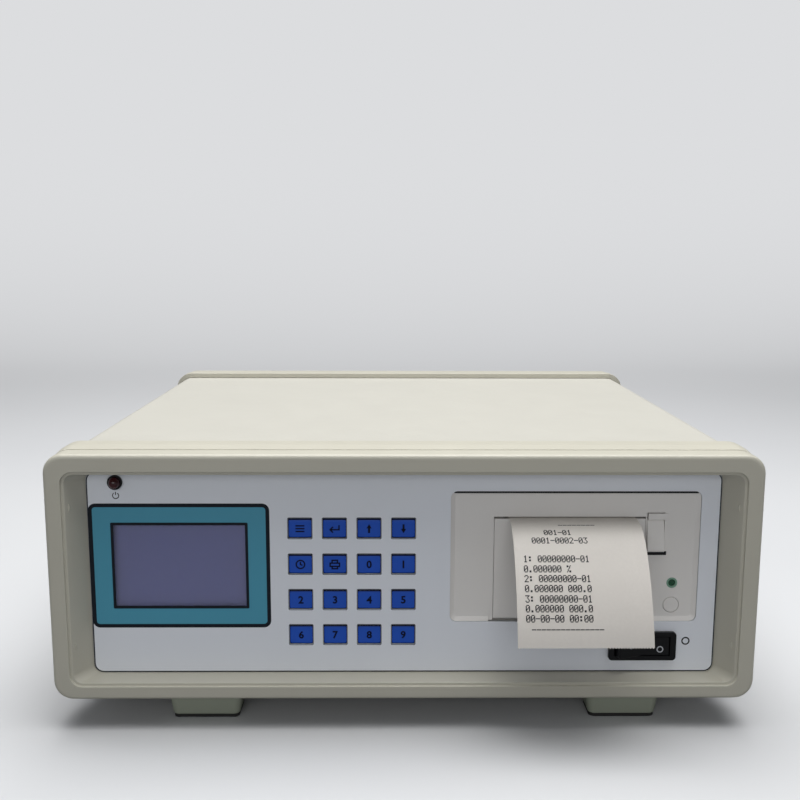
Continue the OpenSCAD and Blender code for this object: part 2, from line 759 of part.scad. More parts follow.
// Wedge-shaped slider with a ledge at its foot, under which a finger pushes it up. An ear
// at its right edge runs behind the flange and keeps it in its slot.
module door_latch() in_case() color(printer_grey) {
    along_x(latch_x0 + fit_gap, latch_w - 2 * fit_gap)
        polygon([
            [bay_face + seat_gap + seam, latch_z0 + latch_h],
            [bay_face + seat_gap + seam, latch_z0 + fit_gap],
            [face_y - latch_ledge + 0.6, latch_z0 + fit_gap],
            [face_y - latch_ledge, latch_z0 + fit_gap + 0.6],
            [face_y - latch_ledge, latch_z0 + 2],
            [face_y + 0.2, latch_z0 + latch_h - 1.5],
            [face_y + 1.7, latch_z0 + latch_h]]);
    box(latch_x0 + fit_gap, latch_x0 + latch_w + latch_ear, bay_face + seat_gap,
        bay_face + seat_gap + latch_back_t, latch_z0 + latch_ear_z, latch_back_z1);
}

module platen_roller() in_case() color(black) difference() {
    pin_x(paper_x0 - 0.4, paper_w + 0.8, platen_y, platen_z, platen_r);
    pin_x(paper_x0 - 1, paper_w + 2, platen_y, platen_z, shaft_r);
}

module platen_shaft() in_case() color(steel)
    pin_x(gear_x, arm_right_x + arm_t + 0.4 - gear_x, platen_y, platen_z, shaft_r);

module gear(x0, y, z, teeth, turn, bore) along_x(x0, gear_w) translate([y, z]) difference() {
    gear_outline(teeth, turn);
    circle(bore);
}

module platen_gear() in_case() color("white")
    gear(gear_x, platen_y, platen_z, platen_teeth, idler_dir, shaft_r);

// The idler has a gap where the platen gear has its tooth.
idler_turn = idler_dir + 180 + 180 / idler_teeth;
idler_axle_r = 1.2;

module idler_gear() in_case() color("white")
    gear(gear_x, idler_y(), idler_z(), idler_teeth, idler_turn, idler_axle_r);

// Angle from the pinion's direction to the idler's nearest tooth sets the pinion's turn.
idler_pitch = 360 / idler_teeth;
pinion_lead = (idler_turn - pinion_dir) - idler_pitch * round((idler_turn - pinion_dir) / idler_pitch);
pinion_turn = pinion_dir + 180 - pinion_lead * idler_teeth / pinion_teeth + 180 / pinion_teeth;

// The pinion and the motor's shaft, which turn together.
module motor_pinion() in_case() color(brass) {
    gear(gear_x, pinion_y(), pinion_z(), pinion_teeth, pinion_turn, motor_shaft_r - eps);
    pin_x(motor_x1 - motor_l / 2, gear_x + gear_w - motor_x1 + motor_l / 2, pinion_y(), pinion_z(), motor_shaft_r);
}

module printer_motor() in_case() color(steel) difference() {
    pin_x(motor_x1 - motor_l, motor_l, pinion_y(), pinion_z(), motor_r);
    pin_x(motor_x1 - motor_l / 2 - fit_gap, motor_l, pinion_y(), pinion_z(), motor_shaft_r + run_gap);
}

// Print head behind the platen, on a sloping plate with a hanger up to the roof of the bay.
module thermal_head() in_case() color(steel) along_x(paper_x0 - head_side, paper_w + 2 * head_side) {
    back = head_y + head_t + head_plate_t;
    top_y = platen_y + back * cos(head_turn) - head_up * sin(head_turn);
    top_z = platen_z + back * sin(head_turn) + head_up * cos(head_turn);
    translate([platen_y, platen_z]) rotate(head_turn) {
        translate([head_y, -head_down]) square([head_t + seam, head_down + head_up]);
        translate([head_y + head_t, -head_down - head_t]) square([head_plate_t, head_down + head_t + head_up]);
    }
    translate([top_y - head_plate_t, top_z - head_plate_t])
        square([head_plate_t, bay_top - seat_gap - top_z + head_plate_t]);
}

module paper_roll() in_case() color("white") difference() {
    pin_x(paper_x0, paper_w, roll_y, roll_z, roll_r);
    pin_x(paper_x0 - 1, paper_w + 2, roll_y, roll_z, 6);
}

function arc(c, r, a0, a1, n) = [for (i = [0:n]) let (a = a0 + (a1 - a0) * i / n) c + r * [cos(a), sin(a)]];

// Side view of the paper: up from the roll, round the platen, out of the slit and down.
module paper_strip() in_case() color("#ece7da") along_x(paper_x0, paper_w) strip_outline();

wrap_r = platen_r + 0.15 + paper_t / 2;
roll_wrap_r = roll_r + seat_gap + paper_t / 2;
slit_z = door_top + paper_slit / 2;
span = [roll_y - platen_y, roll_z - platen_z];
web_dir = atan2(span[1], span[0]) - asin((roll_wrap_r + wrap_r) / norm(span));
slit_at = [face_y + door_t - platen_y, slit_z - platen_z];
exit_turn = atan2(slit_at[1], slit_at[0]) - acos(wrap_r / norm(slit_at));
lip_y = face_y - 1;
fold_r = 24.3;
fold_turn = 50;
hang_turn = 76;

// The paper turns down in a tight arc, then hangs in a wide one that ends at strip_reach.
function turned(a) = [cos(90 + a), sin(90 + a)];
fold_at = [lip_y, slit_z - fold_r];
hang_r = (strip_reach - paper_t / 2 + lip_y - fold_r * sin(fold_turn)) / (sin(hang_turn) - sin(fold_turn));
hang_at = fold_at + (fold_r - hang_r) * turned(fold_turn);
strip_path = concat(
    [[roll_y, roll_z] + roll_wrap_r * [cos(web_dir - 90), sin(web_dir - 90)]],
    arc([platen_y, platen_z], wrap_r, web_dir + 90, exit_turn, 10),
    [[face_y + door_t, slit_z]],
    arc(fold_at, fold_r, 90, 90 + fold_turn, 8),
    arc(hang_at, hang_r, 90 + fold_turn + 2, 90 + hang_turn, 8));

function side(i) = let (
    a = strip_path[max(i - 1, 0)],
    b = strip_path[min(i + 1, len(strip_path) - 1)],
    d = (b - a) / norm(b - a)) [-d[1], d[0]] * paper_t / 2;

module strip_outline() polygon(concat(
    [for (i = [0:len(strip_path) - 1]) strip_path[i] + side(i)],
    [for (i = [len(strip_path) - 1:-1:0]) strip_path[i] - side(i)]));

module feed_button() in_case() color(printer_grey) {
    pin_y(button_x, face_y - 0.2, bay_face + seam - face_y, button_z, button_r);
    pin_y(button_x, bay_face + seat_gap, 1, button_z, button_r + 0.55);
    pin_y(button_x, bay_face + 1, printer_board_y - feed_switch_t + 1 - bay_face, button_z, stem_r);
}

module printer_light() in_case() color("#0f6b46") {
    pin_y(button_x, face_y + 0.3, printer_board_y - face_y - 0.4, light_z, printer_light_r);
}

module printer_board() in_case() color(board_green) {
    difference() {
        box(door_x1 + bay_wall + 0.3, printer_x1 - box_inset - box_wall - 0.3, printer_board_y,
            printer_board_y + 1.6, printer_z0 + box_inset + box_wall + 0.3, bay_top - 0.3);
        pin_y(button_x, printer_board_y - 1, 1.8, light_z, printer_light_r + run_gap);
    }
    difference() {
        box(button_x - tact_w / 2, button_x + tact_w / 2, printer_board_y - feed_switch_t, printer_board_y,
            button_z - tact_w / 2, button_z + tact_w / 2);
        pin_y(button_x, printer_board_y - feed_switch_t - 1, 1 + 2 + button_travel + fit_gap,
            button_z, stem_r + run_gap);
    }
}

// Two brackets at the housing's sides, hooked over its back, that pull it against the panel.
module printer_clamps() in_case() color(steel) for (side = [0, 1])
    translate([(printer_x0 + printer_x1) / 2, 0, (printer_z0 + printer_z1) / 2]) mirror([side, 0, 0])
        along_z(-clamp_h / 2, clamp_h) translate([printer_w / 2 - box_inset, 0]) polygon([
            [seat_gap, bay_face + seat_gap], [seat_gap + clamp_t, bay_face + seat_gap],
            [seat_gap + clamp_t, box_back + seat_gap + clamp_t], [-4, box_back + seat_gap + clamp_t],
            [-4, box_back + seat_gap], [seat_gap, box_back + seat_gap]]);

// ---- switch ----

module switch_body() in_case() color(black) translate([switch_cx, 0, switch_cz]) {
    difference() {
        union() {
            along_y(recess - switch_rim, switch_rim) round_rect(switch_w, switch_h, 1.6);
            along_y(recess - eps, switch_depth) square([switch_body_w, switch_body_h], center = true);
        }
        along_y(recess - switch_rim - 1, 12) square([rocker_w, rocker_h], center = true);
        translate([0, rocker_y, -switch_body_h / 2 + 0.3]) cylinder(r = rocker_pin_r + run_gap, h = switch_body_h - 0.6);
    }
    for (i = [-1, 0, 1])
        translate([i * 8, recess + switch_depth + 4, 0]) cube([0.8, 8, 4.7], center = true);
}

// Rocker seen from above: two faces that meet over the pivot, ends round the pivot.
module switch_rocker() in_case() color(black) translate([switch_cx, rocker_y, switch_cz])
    rotate([0, 0, rocker_tilt]) {
        half = rocker_w / 2 - 0.15;
        lift = half * tan(rocker_tilt);
        base = 2.2;
        linear_extrude(rocker_h - 2 * fit_gap, center = true) intersection() {
            polygon([[-half, -base - lift], [0, -base], [half, -base - lift],
                [half, 1.4], [6, 3.4], [-6, 3.4], [-half, 1.4]]);
            circle(half, $fn = 96);
        }
        translate([0, 0, -switch_body_h / 2 + 0.5]) cylinder(r = rocker_pin_r, h = switch_body_h - 1);
    }

// ---- rear side ----

module rear_panel() in_case() color(white_grey) difference() {
    along_y(rear_y - plate_t, plate_t) difference() {
        at_mid() round_rect(plate_w, plate_h, corner_r - frame_wall - slip_gap);
        translate([inlet_x, inlet_z]) square([inlet_body_w + 2 * fit_gap, inlet_body_h + 2 * fit_gap], center = true);
        for (i = [-1, 0, 1]) translate([socket_x + i * socket_pitch, socket_z])
            circle(socket_d / 2 + 0.1);
        translate([serial_x, serial_z]) square([20, 11], center = true);
    }
    for (sx = [-1, 1], sz = [-1, 1])
        pin_y(sx * panel_post_x, rear_y - plate_t - 1, plate_t + 2, mid_z + sz * panel_post_z, pass_r);
    for (sx = [-1, 1])
        pin_y(inlet_x + sx * inlet_screw_x, rear_y - plate_t - 1, plate_t + 2, inlet_z, pass_r);
}

module mains_inlet() in_case() color(black) translate([inlet_x, rear_y, inlet_z]) difference() {
    union() {
        along_y(0, inlet_flange_t) round_rect(inlet_flange_w, inlet_flange_h, 4);
        along_y(-cavity_d - 3, cavity_d + 3 + eps) square([inlet_body_w, inlet_body_h], center = true);
    }
    translate([0, inlet_flange_t - cavity_d, 3.6]) along_y(0, cavity_d + 1) polygon([
        [-cavity_w / 2, -cavity_h / 2], [cavity_w / 2, -cavity_h / 2],
        [cavity_w / 2, cavity_h / 2 - 4.5], [cavity_w / 2 - 4.5, cavity_h / 2],
        [-cavity_w / 2 + 4.5, cavity_h / 2], [-cavity_w / 2, cavity_h / 2 - 4.5]]);
    translate([0, inlet_flange_t - fuse_d, -9]) along_y(0, fuse_d + 1)
        square([fuse_w, fuse_h], center = true);
    for (sx = [-1, 1]) pin_y(sx * inlet_screw_x, -1, inlet_flange_t + 2, 0, pass_r);
}

module inlet_pins() in_case() color(steel) translate([inlet_x, rear_y + inlet_flange_t, inlet_z + 3.6])
    for (p = [[-7, -2], [7, -2], [0, 2]])
        translate([p[0] - 1, -cavity_d, p[1] - 2]) cube([2, 13.5, 4]);

module fuse_drawer() in_case() color("#33343a") translate([inlet_x, rear_y + inlet_flange_t, inlet_z - 9]) {
    along_y(-fuse_d + 0.3, fuse_d + 0.5) square([fuse_w - 2 * fit_gap, fuse_h - 2 * fit_gap], center = true);
}

module electrode_sockets() in_case() color(steel) for (i = [-1, 0, 1])
    translate([socket_x + i * socket_pitch, 0, socket_z]) difference() {
        union() {
            pin_y(0, rear_y - plate_t - socket_tail, plate_t + socket_tail + socket_len, 0, socket_d / 2);
            along_y(rear_y, socket_rim_t) circle(r = socket_nut_r, $fn = 6);
            along_y(rear_y - plate_t - socket_nut_t, socket_nut_t) circle(r = socket_nut_r, $fn = 6);
        }
        pin_y(0, rear_y + socket_len - socket_bore, socket_bore + 1, 0, socket_d / 2 - 0.9);
    }

module socket_insulators() in_case() color("white") for (i = [-1, 0, 1])
    translate([socket_x + i * socket_pitch, 0, socket_z]) difference() {
        pin_y(0, rear_y + socket_len - socket_bore, insulator_l, 0, insulator_r);
        pin_y(0, rear_y + socket_len - socket_bore + 2, insulator_l - 1, 0, contact_r);
    }

module serial_port() in_case() color(steel) translate([serial_x, rear_y, serial_z]) difference() {
    union() {
        along_y(0, 0.9) round_rect(31, 12.5, 2);
        along_y(-plate_t - 8, plate_t + 8 + eps) square([19, 10.4], center = true);
        along_y(0.8, 5) polygon([[-8.3, -4], [8.3, -4], [9.3, 4.2], [-9.3, 4.2]]);
    }
    along_y(1.5, 6) polygon([[-7.7, -3.4], [7.7, -3.4], [8.7, 3.6], [-8.7, 3.6]]);
}

// ---- boards inside ----

board_t = 1.6;
post_h = 6;
board_z = floor_z + post_h;
supply_margin = 29;
supply_w = 78;
supply_l = 100;
board_margin = 45;
board_l = 130;
board_hole_in = 6;
supply_x0 = supply_margin - case_w / 2;
supply_x1 = supply_x0 + supply_w;
board_x0 = supply_x1 + 18;
board_x1 = case_w / 2 - board_margin;
board_w = board_x1 - board_x0;
board_y0 = case_d / 2 - board_margin;
board_y1 = board_y0 + board_l;
board_posts = [for (x = [board_x0 + board_hole_in, board_x1 - board_hole_in],
    y = [board_y0 + board_hole_in, board_y1 - board_hole_in]) [x, y]];
supply_y0 = case_d / 2 - 35;
supply_y1 = supply_y0 + supply_l;
supply_foot = 1.5;
supply_h = 38;
supply_posts = [for (x = [supply_x0 + 8, supply_x1 - 8], y = [supply_y0 + 5, supply_y1 - 5]) [x, y]];

module main_board() in_case() color(board_green) {
    difference() {
        box(board_x0, board_x1, board_y0, board_y1, board_z + eps, board_z + board_t);
        for (p = board_posts) translate([p[0], p[1], board_z - 1]) cylinder(r = pass_r, h = 4);
    }
    translate([board_x0, board_y0, board_z + board_t]) {
        translate([board_w * 0.36, 55, 0]) cube([24, 24, 2.4]);
        translate([board_w * 0.64, 25, 0]) cube([30, 12, 9]);
        translate([board_w * 0.14, 95, 0]) cube([board_w * 0.43, 24, 12]);
        for (i = [0:3]) translate([board_w * (0.68 + i * 0.079), 105, 0]) cylinder(r = board_w * 0.032, h = 14);
        for (i = [0:2]) translate([board_w * 0.07, 17 + i * 22, 0]) cube([10, 18, 8]);
    }
}

module power_supply() in_case() color(steel) {
    difference() {
        union() {
            box(supply_x0, supply_x1, supply_y0, supply_y1, board_z + eps, board_z + supply_foot);
            box(supply_x0, supply_x1, supply_y0 + 12, supply_y1 - 12, board_z + eps, board_z + supply_h);
        }
        for (p = supply_posts) translate([p[0], p[1], board_z - 1]) cylinder(r = pass_r, h = 4);
        for (i = [0:9]) box(supply_x0 + 8, supply_x1 - 8, supply_y0 + 17 + i * 7, supply_y0 + 20 + i * 7,
            board_z + supply_h - 2, board_z + supply_h + 1);
    }
}

front_frame();
rear_frame();
top_cover();
bottom_cover();
front_panel();
panel_film();
display_window();
lcd_glass();
lcd_bezel();
lcd_board();
power_light();
light_holder();
key_cap("key_menu");  // key_menu
key_cap("key_enter");  // key_enter
key_cap("key_up");  // key_up
key_cap("key_down");  // key_down
key_cap("key_clock");  // key_clock
key_cap("key_print");  // key_print
key_cap("key_0");  // key_0
key_cap("key_1");  // key_1
key_cap("key_2");  // key_2
key_cap("key_3");  // key_3
key_cap("key_4");  // key_4
key_cap("key_5");  // key_5
key_cap("key_6");  // key_6
key_cap("key_7");  // key_7
key_cap("key_8");  // key_8
key_cap("key_9");  // key_9
keypad_board();
printer_housing();
printer_door();
door_latch();
platen_roller();
platen_shaft();
platen_gear();
idler_gear();
motor_pinion();
printer_motor();
thermal_head();
paper_roll();
paper_strip();
feed_button();
printer_light();
printer_board();
printer_clamps();
switch_body();
switch_rocker();
rear_panel();
mains_inlet();
inlet_pins();
fuse_drawer();
electrode_sockets();
socket_insulators();
serial_port();
main_board();
power_supply();
feet();
foot_pads();
screws();
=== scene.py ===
import math

import bmesh
import bpy
from mathutils import Matrix, Vector


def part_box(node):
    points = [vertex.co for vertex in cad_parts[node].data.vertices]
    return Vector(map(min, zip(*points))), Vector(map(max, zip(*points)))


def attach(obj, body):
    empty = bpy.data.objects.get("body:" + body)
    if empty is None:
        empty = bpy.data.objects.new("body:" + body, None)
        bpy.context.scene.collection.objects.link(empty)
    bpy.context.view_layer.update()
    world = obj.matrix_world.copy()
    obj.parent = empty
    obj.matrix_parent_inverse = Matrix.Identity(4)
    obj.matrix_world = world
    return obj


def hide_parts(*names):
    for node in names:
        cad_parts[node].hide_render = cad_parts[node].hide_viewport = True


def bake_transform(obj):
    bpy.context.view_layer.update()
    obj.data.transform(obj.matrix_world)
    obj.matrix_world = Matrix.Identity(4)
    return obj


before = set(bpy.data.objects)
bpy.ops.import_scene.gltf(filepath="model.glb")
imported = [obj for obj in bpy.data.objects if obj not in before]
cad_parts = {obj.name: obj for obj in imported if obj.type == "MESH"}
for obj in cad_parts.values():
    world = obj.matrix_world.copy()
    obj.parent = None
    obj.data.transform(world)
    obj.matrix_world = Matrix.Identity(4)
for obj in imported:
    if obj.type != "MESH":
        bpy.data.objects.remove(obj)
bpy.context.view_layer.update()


# ---- Camera ----
# It stands 0.4 m in front of the case, above its cover, and looks down a little. From here on
# every size and place is in millimetres, and piece() turns them into metres.

def box_mm(*nodes):
    """Lowest and highest corner of these CAD nodes together, in millimetres."""
    lows, highs = zip(*[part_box(node) for node in nodes])
    return (Vector([min(p[i] for p in lows) * 1000 for i in range(3)]),
            Vector([max(p[i] for p in highs) * 1000 for i in range(3)]))


case_low, case_high = box_mm("front_frame", "rear_frame")
rim_y = case_low.y

lens = bpy.data.cameras.new("camera")
lens.sensor_width = 36
lens.lens = 42.93
stand_x, stand_off, stand_z = -6.48, 399.5, 211.6
pitch, yaw, roll = 0.154, 0.010, 0.0028
ahead = Vector((math.sin(yaw) * math.cos(pitch), math.cos(yaw) * math.cos(pitch), -math.sin(pitch)))
level = Vector((math.cos(yaw), -math.sin(yaw), 0))
upright = level.cross(ahead)
right = level * math.cos(roll) + upright * math.sin(roll)
up = upright * math.cos(roll) - level * math.sin(roll)
camera = bpy.data.objects.new("camera", lens)
camera.matrix_world = Matrix.Translation(Vector((stand_x, rim_y - stand_off, stand_z)) / 1000) @ (
    Matrix((right, up, -ahead)).transposed().to_4x4())
bpy.context.scene.collection.objects.link(camera)
bpy.context.scene.camera = camera


# ---- Front and rear frames ----
# Each is one ABS moulding: a rounded rim, a small step inside it, a recess that narrows to the
# panel, and behind a groove a sleeve that holds both covers. Posts inside carry its screws.

def colour(code, shade=1.0):
    """Linear colour of an sRGB hex code, times shade."""
    parts = [int(code[i:i + 2], 16) / 255 for i in (1, 3, 5)]
    return [shade * (c / 12.92 if c <= 0.04045 else ((c + 0.055) / 1.055) ** 2.4) for c in parts] + [1]


def link(tree, source, target):
    """Links a socket, or the first output of a node, to an input."""
    tree.links.new(source.outputs[0] if isinstance(source, bpy.types.Node) else source, target)


def add(tree, kind, inputs=None, **settings):
    """A new node with its settings, and each input set to a value or linked to a socket or node."""
    made = tree.nodes.new(kind)
    for name, value in settings.items():
        setattr(made, name, value)
    for name, value in (inputs or {}).items():
        if isinstance(value, (bpy.types.Node, bpy.types.NodeSocket)):
            link(tree, value, made.inputs[name])
        else:
            made.inputs[name].default_value = value
    return made


def finish(name, inputs):
    """A new material, with these inputs of its shader set to a value. Returns it, its tree, and the
    socket of places on the piece, in metres, which its patterns follow."""
    made = bpy.data.materials.new(name)
    made.use_nodes = True
    for key, value in inputs.items():
        made.node_tree.nodes["Principled BSDF"].inputs[key].default_value = value
    return made, made.node_tree, add(made.node_tree, "ShaderNodeTexCoord").outputs["Object"]


def feed(tree, key, source):
    """Links a socket or a node to an input of the material's shader."""
    link(tree, source, tree.nodes["Principled BSDF"].inputs[key])


def moulded(name, code, grain=0.5, depth=0.02, rough=0.5, cloud=0.05, ior=1.53, shine=0.5):
    """Moulded plastic. Its tool's spark-eroded skin leaves a grain of that width and depth in mm,
    the flow of the melt a faint cloudiness 40 mm wide, and handling glossier spots of 14 mm."""
    made, tree, place = finish(name, {"IOR": ior, "Specular IOR Level": shine})
    flow = add(tree, "ShaderNodeTexNoise", {"Vector": place, "Scale": 25, "Detail": 4})
    tone = add(tree, "ShaderNodeMix", {0: flow, 6: colour(code, 1 - 2 * cloud), 7: colour(code)},
               data_type="RGBA")
    feed(tree, "Base Color", tone.outputs[2])
    rub = add(tree, "ShaderNodeTexNoise", {"Vector": place, "Scale": 70, "Detail": 2})
    gloss = add(tree, "ShaderNodeMapRange", {0: rub, 3: rough - 0.08, 4: rough + 0.08})
    feed(tree, "Roughness", gloss)
    pits = add(tree, "ShaderNodeTexNoise", {"Vector": place, "Scale": 1000 / grain, "Detail": 1})
    bump = add(tree, "ShaderNodeBump", {"Height": pits, "Distance": depth / 1000})
    feed(tree, "Normal", bump)
    return made


# ABS, textured in the tool: warm grey-cream, matt, with a soft sparkle where light grazes it.
frame_abs = moulded("abs_cream_textured", "#C0BDAF", grain=0.7, depth=0.03, rough=0.46, cloud=0.03)


def outline(w, h, r, steps=9):
    """Points round a rounded rectangle, anticlockwise."""
    points = []
    for quarter, (sx, sz) in enumerate([(1, 1), (-1, 1), (-1, -1), (1, -1)]):
        for i in range(steps + 1):
            turn = math.pi / 2 * (quarter + i / steps)
            points.append((sx * (w / 2 - r) + r * math.cos(turn), sz * (h / 2 - r) + r * math.sin(turn)))
    return points


def eased(profile, size):
    """A closed profile with each corner turned into an arc, which takes less than half a side. A
    point is (inset in X, inset in Z, corner radius, Y, lift), and may have the arc's own size as a
    sixth number."""
    made = []
    share = 0.45
    for i, corner in enumerate(profile):
        point = Vector(corner[:5])
        own = corner[5] if len(corner) > 5 else size
        ends = []
        for other in (profile[i - 1], profile[(i + 1) % len(profile)]):
            way = Vector(other[:5]) - point
            ends.append(point + way * min(own / math.hypot(way[0], way[3]), share))
        steps = 8 if own > 1 else 3
        for s in range(steps + 1):
            t = s / steps
            made.append(ends[0] * (1 - t) ** 2 + point * 2 * t * (1 - t) + ends[1] * t ** 2)
    return made


def loft(shape, rings, joined=False):
    """Skins rings of points, and closes the ends unless the last ring joins the first."""
    loops = [[shape.verts.new(p) for p in ring] for ring in rings]
    for a, b in zip(loops, loops[1:] + (loops[:1] if joined else [])):
        for i in range(len(a)):
            j = (i + 1) % len(a)
            shape.faces.new((a[i], a[j], b[j], b[i]))
    if not joined:
        shape.faces.new(loops[0])
        shape.faces.new(loops[-1])


def rod(shape, start, end, radius):
    """A round bar between two points."""
    start, end, sides = Vector(start), Vector(end), 24
    turn = (end - start).to_track_quat("Z", "Y")
    edge = [turn @ Vector((radius * math.cos(a), radius * math.sin(a), 0))
            for a in (2 * math.pi * i / sides for i in range(sides))]
    loft(shape, [[start + c for c in edge], [end + c for c in edge]])


def piece(name, shape, body, slot, *finishes, angle=40):
    """Turns a shape drawn in millimetres into a piece with these finishes, which rides on a body."""
    bmesh.ops.recalc_face_normals(shape, faces=shape.faces)
    mesh = bpy.data.meshes.new(name)
    shape.to_mesh(mesh)
    shape.free()
    mesh.transform(Matrix.Scale(0.001, 4))
    for made in finishes:
        mesh.materials.append(made)
    mesh.polygons.foreach_set("use_smooth", [True] * len(mesh.polygons))
    mesh.set_sharp_from_angle(angle=math.radians(angle))
    obj = bpy.data.objects.new(name, mesh)
    bpy.context.scene.collection.objects.link(obj)
    obj.modifiers.new("even_shading", "WEIGHTED_NORMAL").keep_sharp = True
    if body:
        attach(obj, body)
    return obj


flare = 1.8
case_w = case_high.x - case_low.x - 2 * flare
case_h = case_high.z - case_low.z - flare
foot_h = case_low.z
mid_z = foot_h + case_h / 2
corner_r = 8.5
edge_r = 2
rim_w, step_w, step_d = 7, 1.3, 1.2
mouth = rim_w + step_w
recess_x, recess_z, mouth_r = mouth + 5.7, mouth + 0.9, 4
recess = 12
plate_y = recess + 0.5
groove_y, groove_w = 9.2, 1.1
groove_share, spread_y = 0.62, 17.2
front_side, front_top, sag = 0.6, 0.7, 0.4
mouth_wide, mouth_drop, film_drop = 0.3, 1.4, 2.1
sleeve_d, lap, lap_in = 26, 4, 1.3
wall, funnel_wall, rim_t = 3.5, 2.4, 3
funnel_x, funnel_z, funnel_drop = 0.8, 0.4, 0.6
fine_edge = 0.28


def skin(inset, y, *size):
    """A point of the outer skin at that depth, set in by inset. Top and sides spread, first up to
    the groove and then less steeply, and the underside sags by a hair."""
    groove_mid = groove_y + groove_w / 2
    spread = flare * min(groove_share * (y - edge_r) / (groove_mid - edge_r),
                         groove_share + (1 - groove_share) * (y - groove_mid) / (spread_y - groove_mid), 1)
    side, top = max(spread, front_side), max(spread, front_top)
    return (inset - side, inset - (top + sag) / 2, corner_r + spread - inset, y, (top - sag) / 2, *size)


# The section's points: how far in from the rim's outside at the sides and at top and bottom, the
# corner's radius, how far behind the rim, and how far lifted.
section = eased([
    (recess_x, recess_z - film_drop / 2, mouth_r, plate_y, -film_drop / 2),
    (mouth - mouth_wide, mouth - mouth_drop / 2, mouth_r, step_d, -mouth_drop / 2),
    (rim_w - mouth_wide, rim_w - mouth_drop / 2, mouth_r + step_w, step_d, -mouth_drop / 2),
    (rim_w - mouth_wide, rim_w - mouth_drop / 2, mouth_r + step_w, 0, -mouth_drop / 2),
    skin(0, 0, edge_r),
    skin(0, groove_y),
    skin(groove_w / 2, groove_y),
    skin(groove_w / 2, groove_y + groove_w),
    skin(0, groove_y + groove_w),
    skin(0, spread_y),
    skin(0, sleeve_d),
    (lap_in, lap_in, corner_r - lap_in, sleeve_d, 0),
    (lap_in, lap_in, corner_r - lap_in, sleeve_d - lap, 0),
    (wall, wall, corner_r - wall, sleeve_d - lap, 0),
    (wall, wall, corner_r - wall, rim_t, 0),
    (mouth - funnel_wall + funnel_x, mouth - funnel_wall - funnel_z, mouth_r + funnel_wall, rim_t,
     -funnel_drop),
    (recess_x - funnel_wall, recess_z - funnel_wall - film_drop / 2, mouth_r + funnel_wall, plate_y,
     -film_drop / 2)], fine_edge)

post_x, post_z, post_r = 148.3, 31.8, 2.9
boss_x, boss_y, boss_r, boss_shift = 95.6, 18.2, 3.2, 4.7
boss_rise, boss_sunk = 5, 0.3
for name, start, way in (("front_frame_moulding", case_low.y, 1), ("rear_frame_moulding", case_high.y, -1)):
    shape = bmesh.new()
    loft(shape, [[(x, start + way * y, mid_z + lift + z)
                  for x, z in outline(case_w - 2 * inset_x, case_h - 2 * inset_z, r)]
                 for inset_x, inset_z, r, y, lift in section], joined=True)
    for sx in (-1, 1):
        for sz in (-1, 1):
            post = sx * post_x, mid_z + sz * post_z
            rod(shape, *[(post[0], start + way * y, post[1]) for y in (rim_t, plate_y)], post_r)
        boss = sx * boss_x + boss_shift, start + way * boss_y
        rod(shape, (*boss, foot_h + wall - boss_sunk), (*boss, foot_h + wall + boss_rise), boss_r)
    made = piece(name, shape, "case", "frame_cream", frame_abs)
    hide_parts(name.replace("_moulding", ""))


# ---- Covers ----
# Two ABS half shells, screwed together through pillars. Their ends slide into the frames'
# sleeves, and they meet in a fine line halfway up each side.

def geometry_tree(name, inputs):
    """A new Geometry Nodes tree, with these inputs by name and kind after its geometry. Returns it
    and its inputs' sockets."""
    tree = bpy.data.node_groups.new(name, "GeometryNodeTree")
    tree.is_modifier = True
    for title, kind in (("Geometry", "Geometry"), *inputs):
        tree.interface.new_socket(title, in_out="INPUT", socket_type=f"NodeSocket{kind}")
    tree.interface.new_socket("Geometry", in_out="OUTPUT", socket_type="NodeSocketGeometry")
    return tree, add(tree, "NodeGroupInput").outputs


def smoothing(sharpest):
    """Geometry Nodes that shade a CAD solid smoothly, apart from edges sharper than that angle."""
    tree, start = geometry_tree("smooth_shading", [])
    edge = add(tree, "GeometryNodeInputMeshEdgeAngle")
    blunt = add(tree, "FunctionNodeCompare", {0: edge, 1: math.radians(sharpest)},
                data_type="FLOAT", operation="LESS_THAN")
    faces = add(tree, "GeometryNodeSetShadeSmooth", {0: start["Geometry"], "Shade Smooth": True},
                domain="FACE")
    edges = add(tree, "GeometryNodeSetShadeSmooth", {0: faces, "Shade Smooth": blunt}, domain="EDGE")
    add(tree, "NodeGroupOutput", {0: edges})
    return tree


smooth_shading = smoothing(46)


def dress(node, made, ease):
    """Gives a CAD node its finish, and rounds its edges by that many millimetres."""
    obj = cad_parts[node]
    obj.data.materials.clear()
    obj.data.materials.append(made)
    obj.modifiers.new("join", "WELD").merge_threshold = 1e-6
    plain = obj.modifiers.new("plain_faces", "DECIMATE")
    plain.decimate_type = "DISSOLVE"
    plain.angle_limit = math.radians(1)
    if ease:
        soft = obj.modifiers.new("eased_edges", "BEVEL")
        soft.width = ease / 1000
        soft.segments = 2
        soft.limit_method = "ANGLE"
        soft.angle_limit = math.radians(35)
    obj.modifiers.new("smooth", "NODES").node_group = smooth_shading
    obj.modifiers.new("even_shading", "WEIGHTED_NORMAL").keep_sharp = True
    return obj


# The covers' ABS is a little less yellow than the frames', with less sheen and a finer texture.
cover_abs = moulded("abs_ivory_satin", "#C0BEB5", grain=0.9, depth=0.02, rough=0.48, cloud=0.02, shine=0.2)
dress("top_cover", cover_abs, ease=0.25)
dress("bottom_cover", cover_abs, ease=0.25)
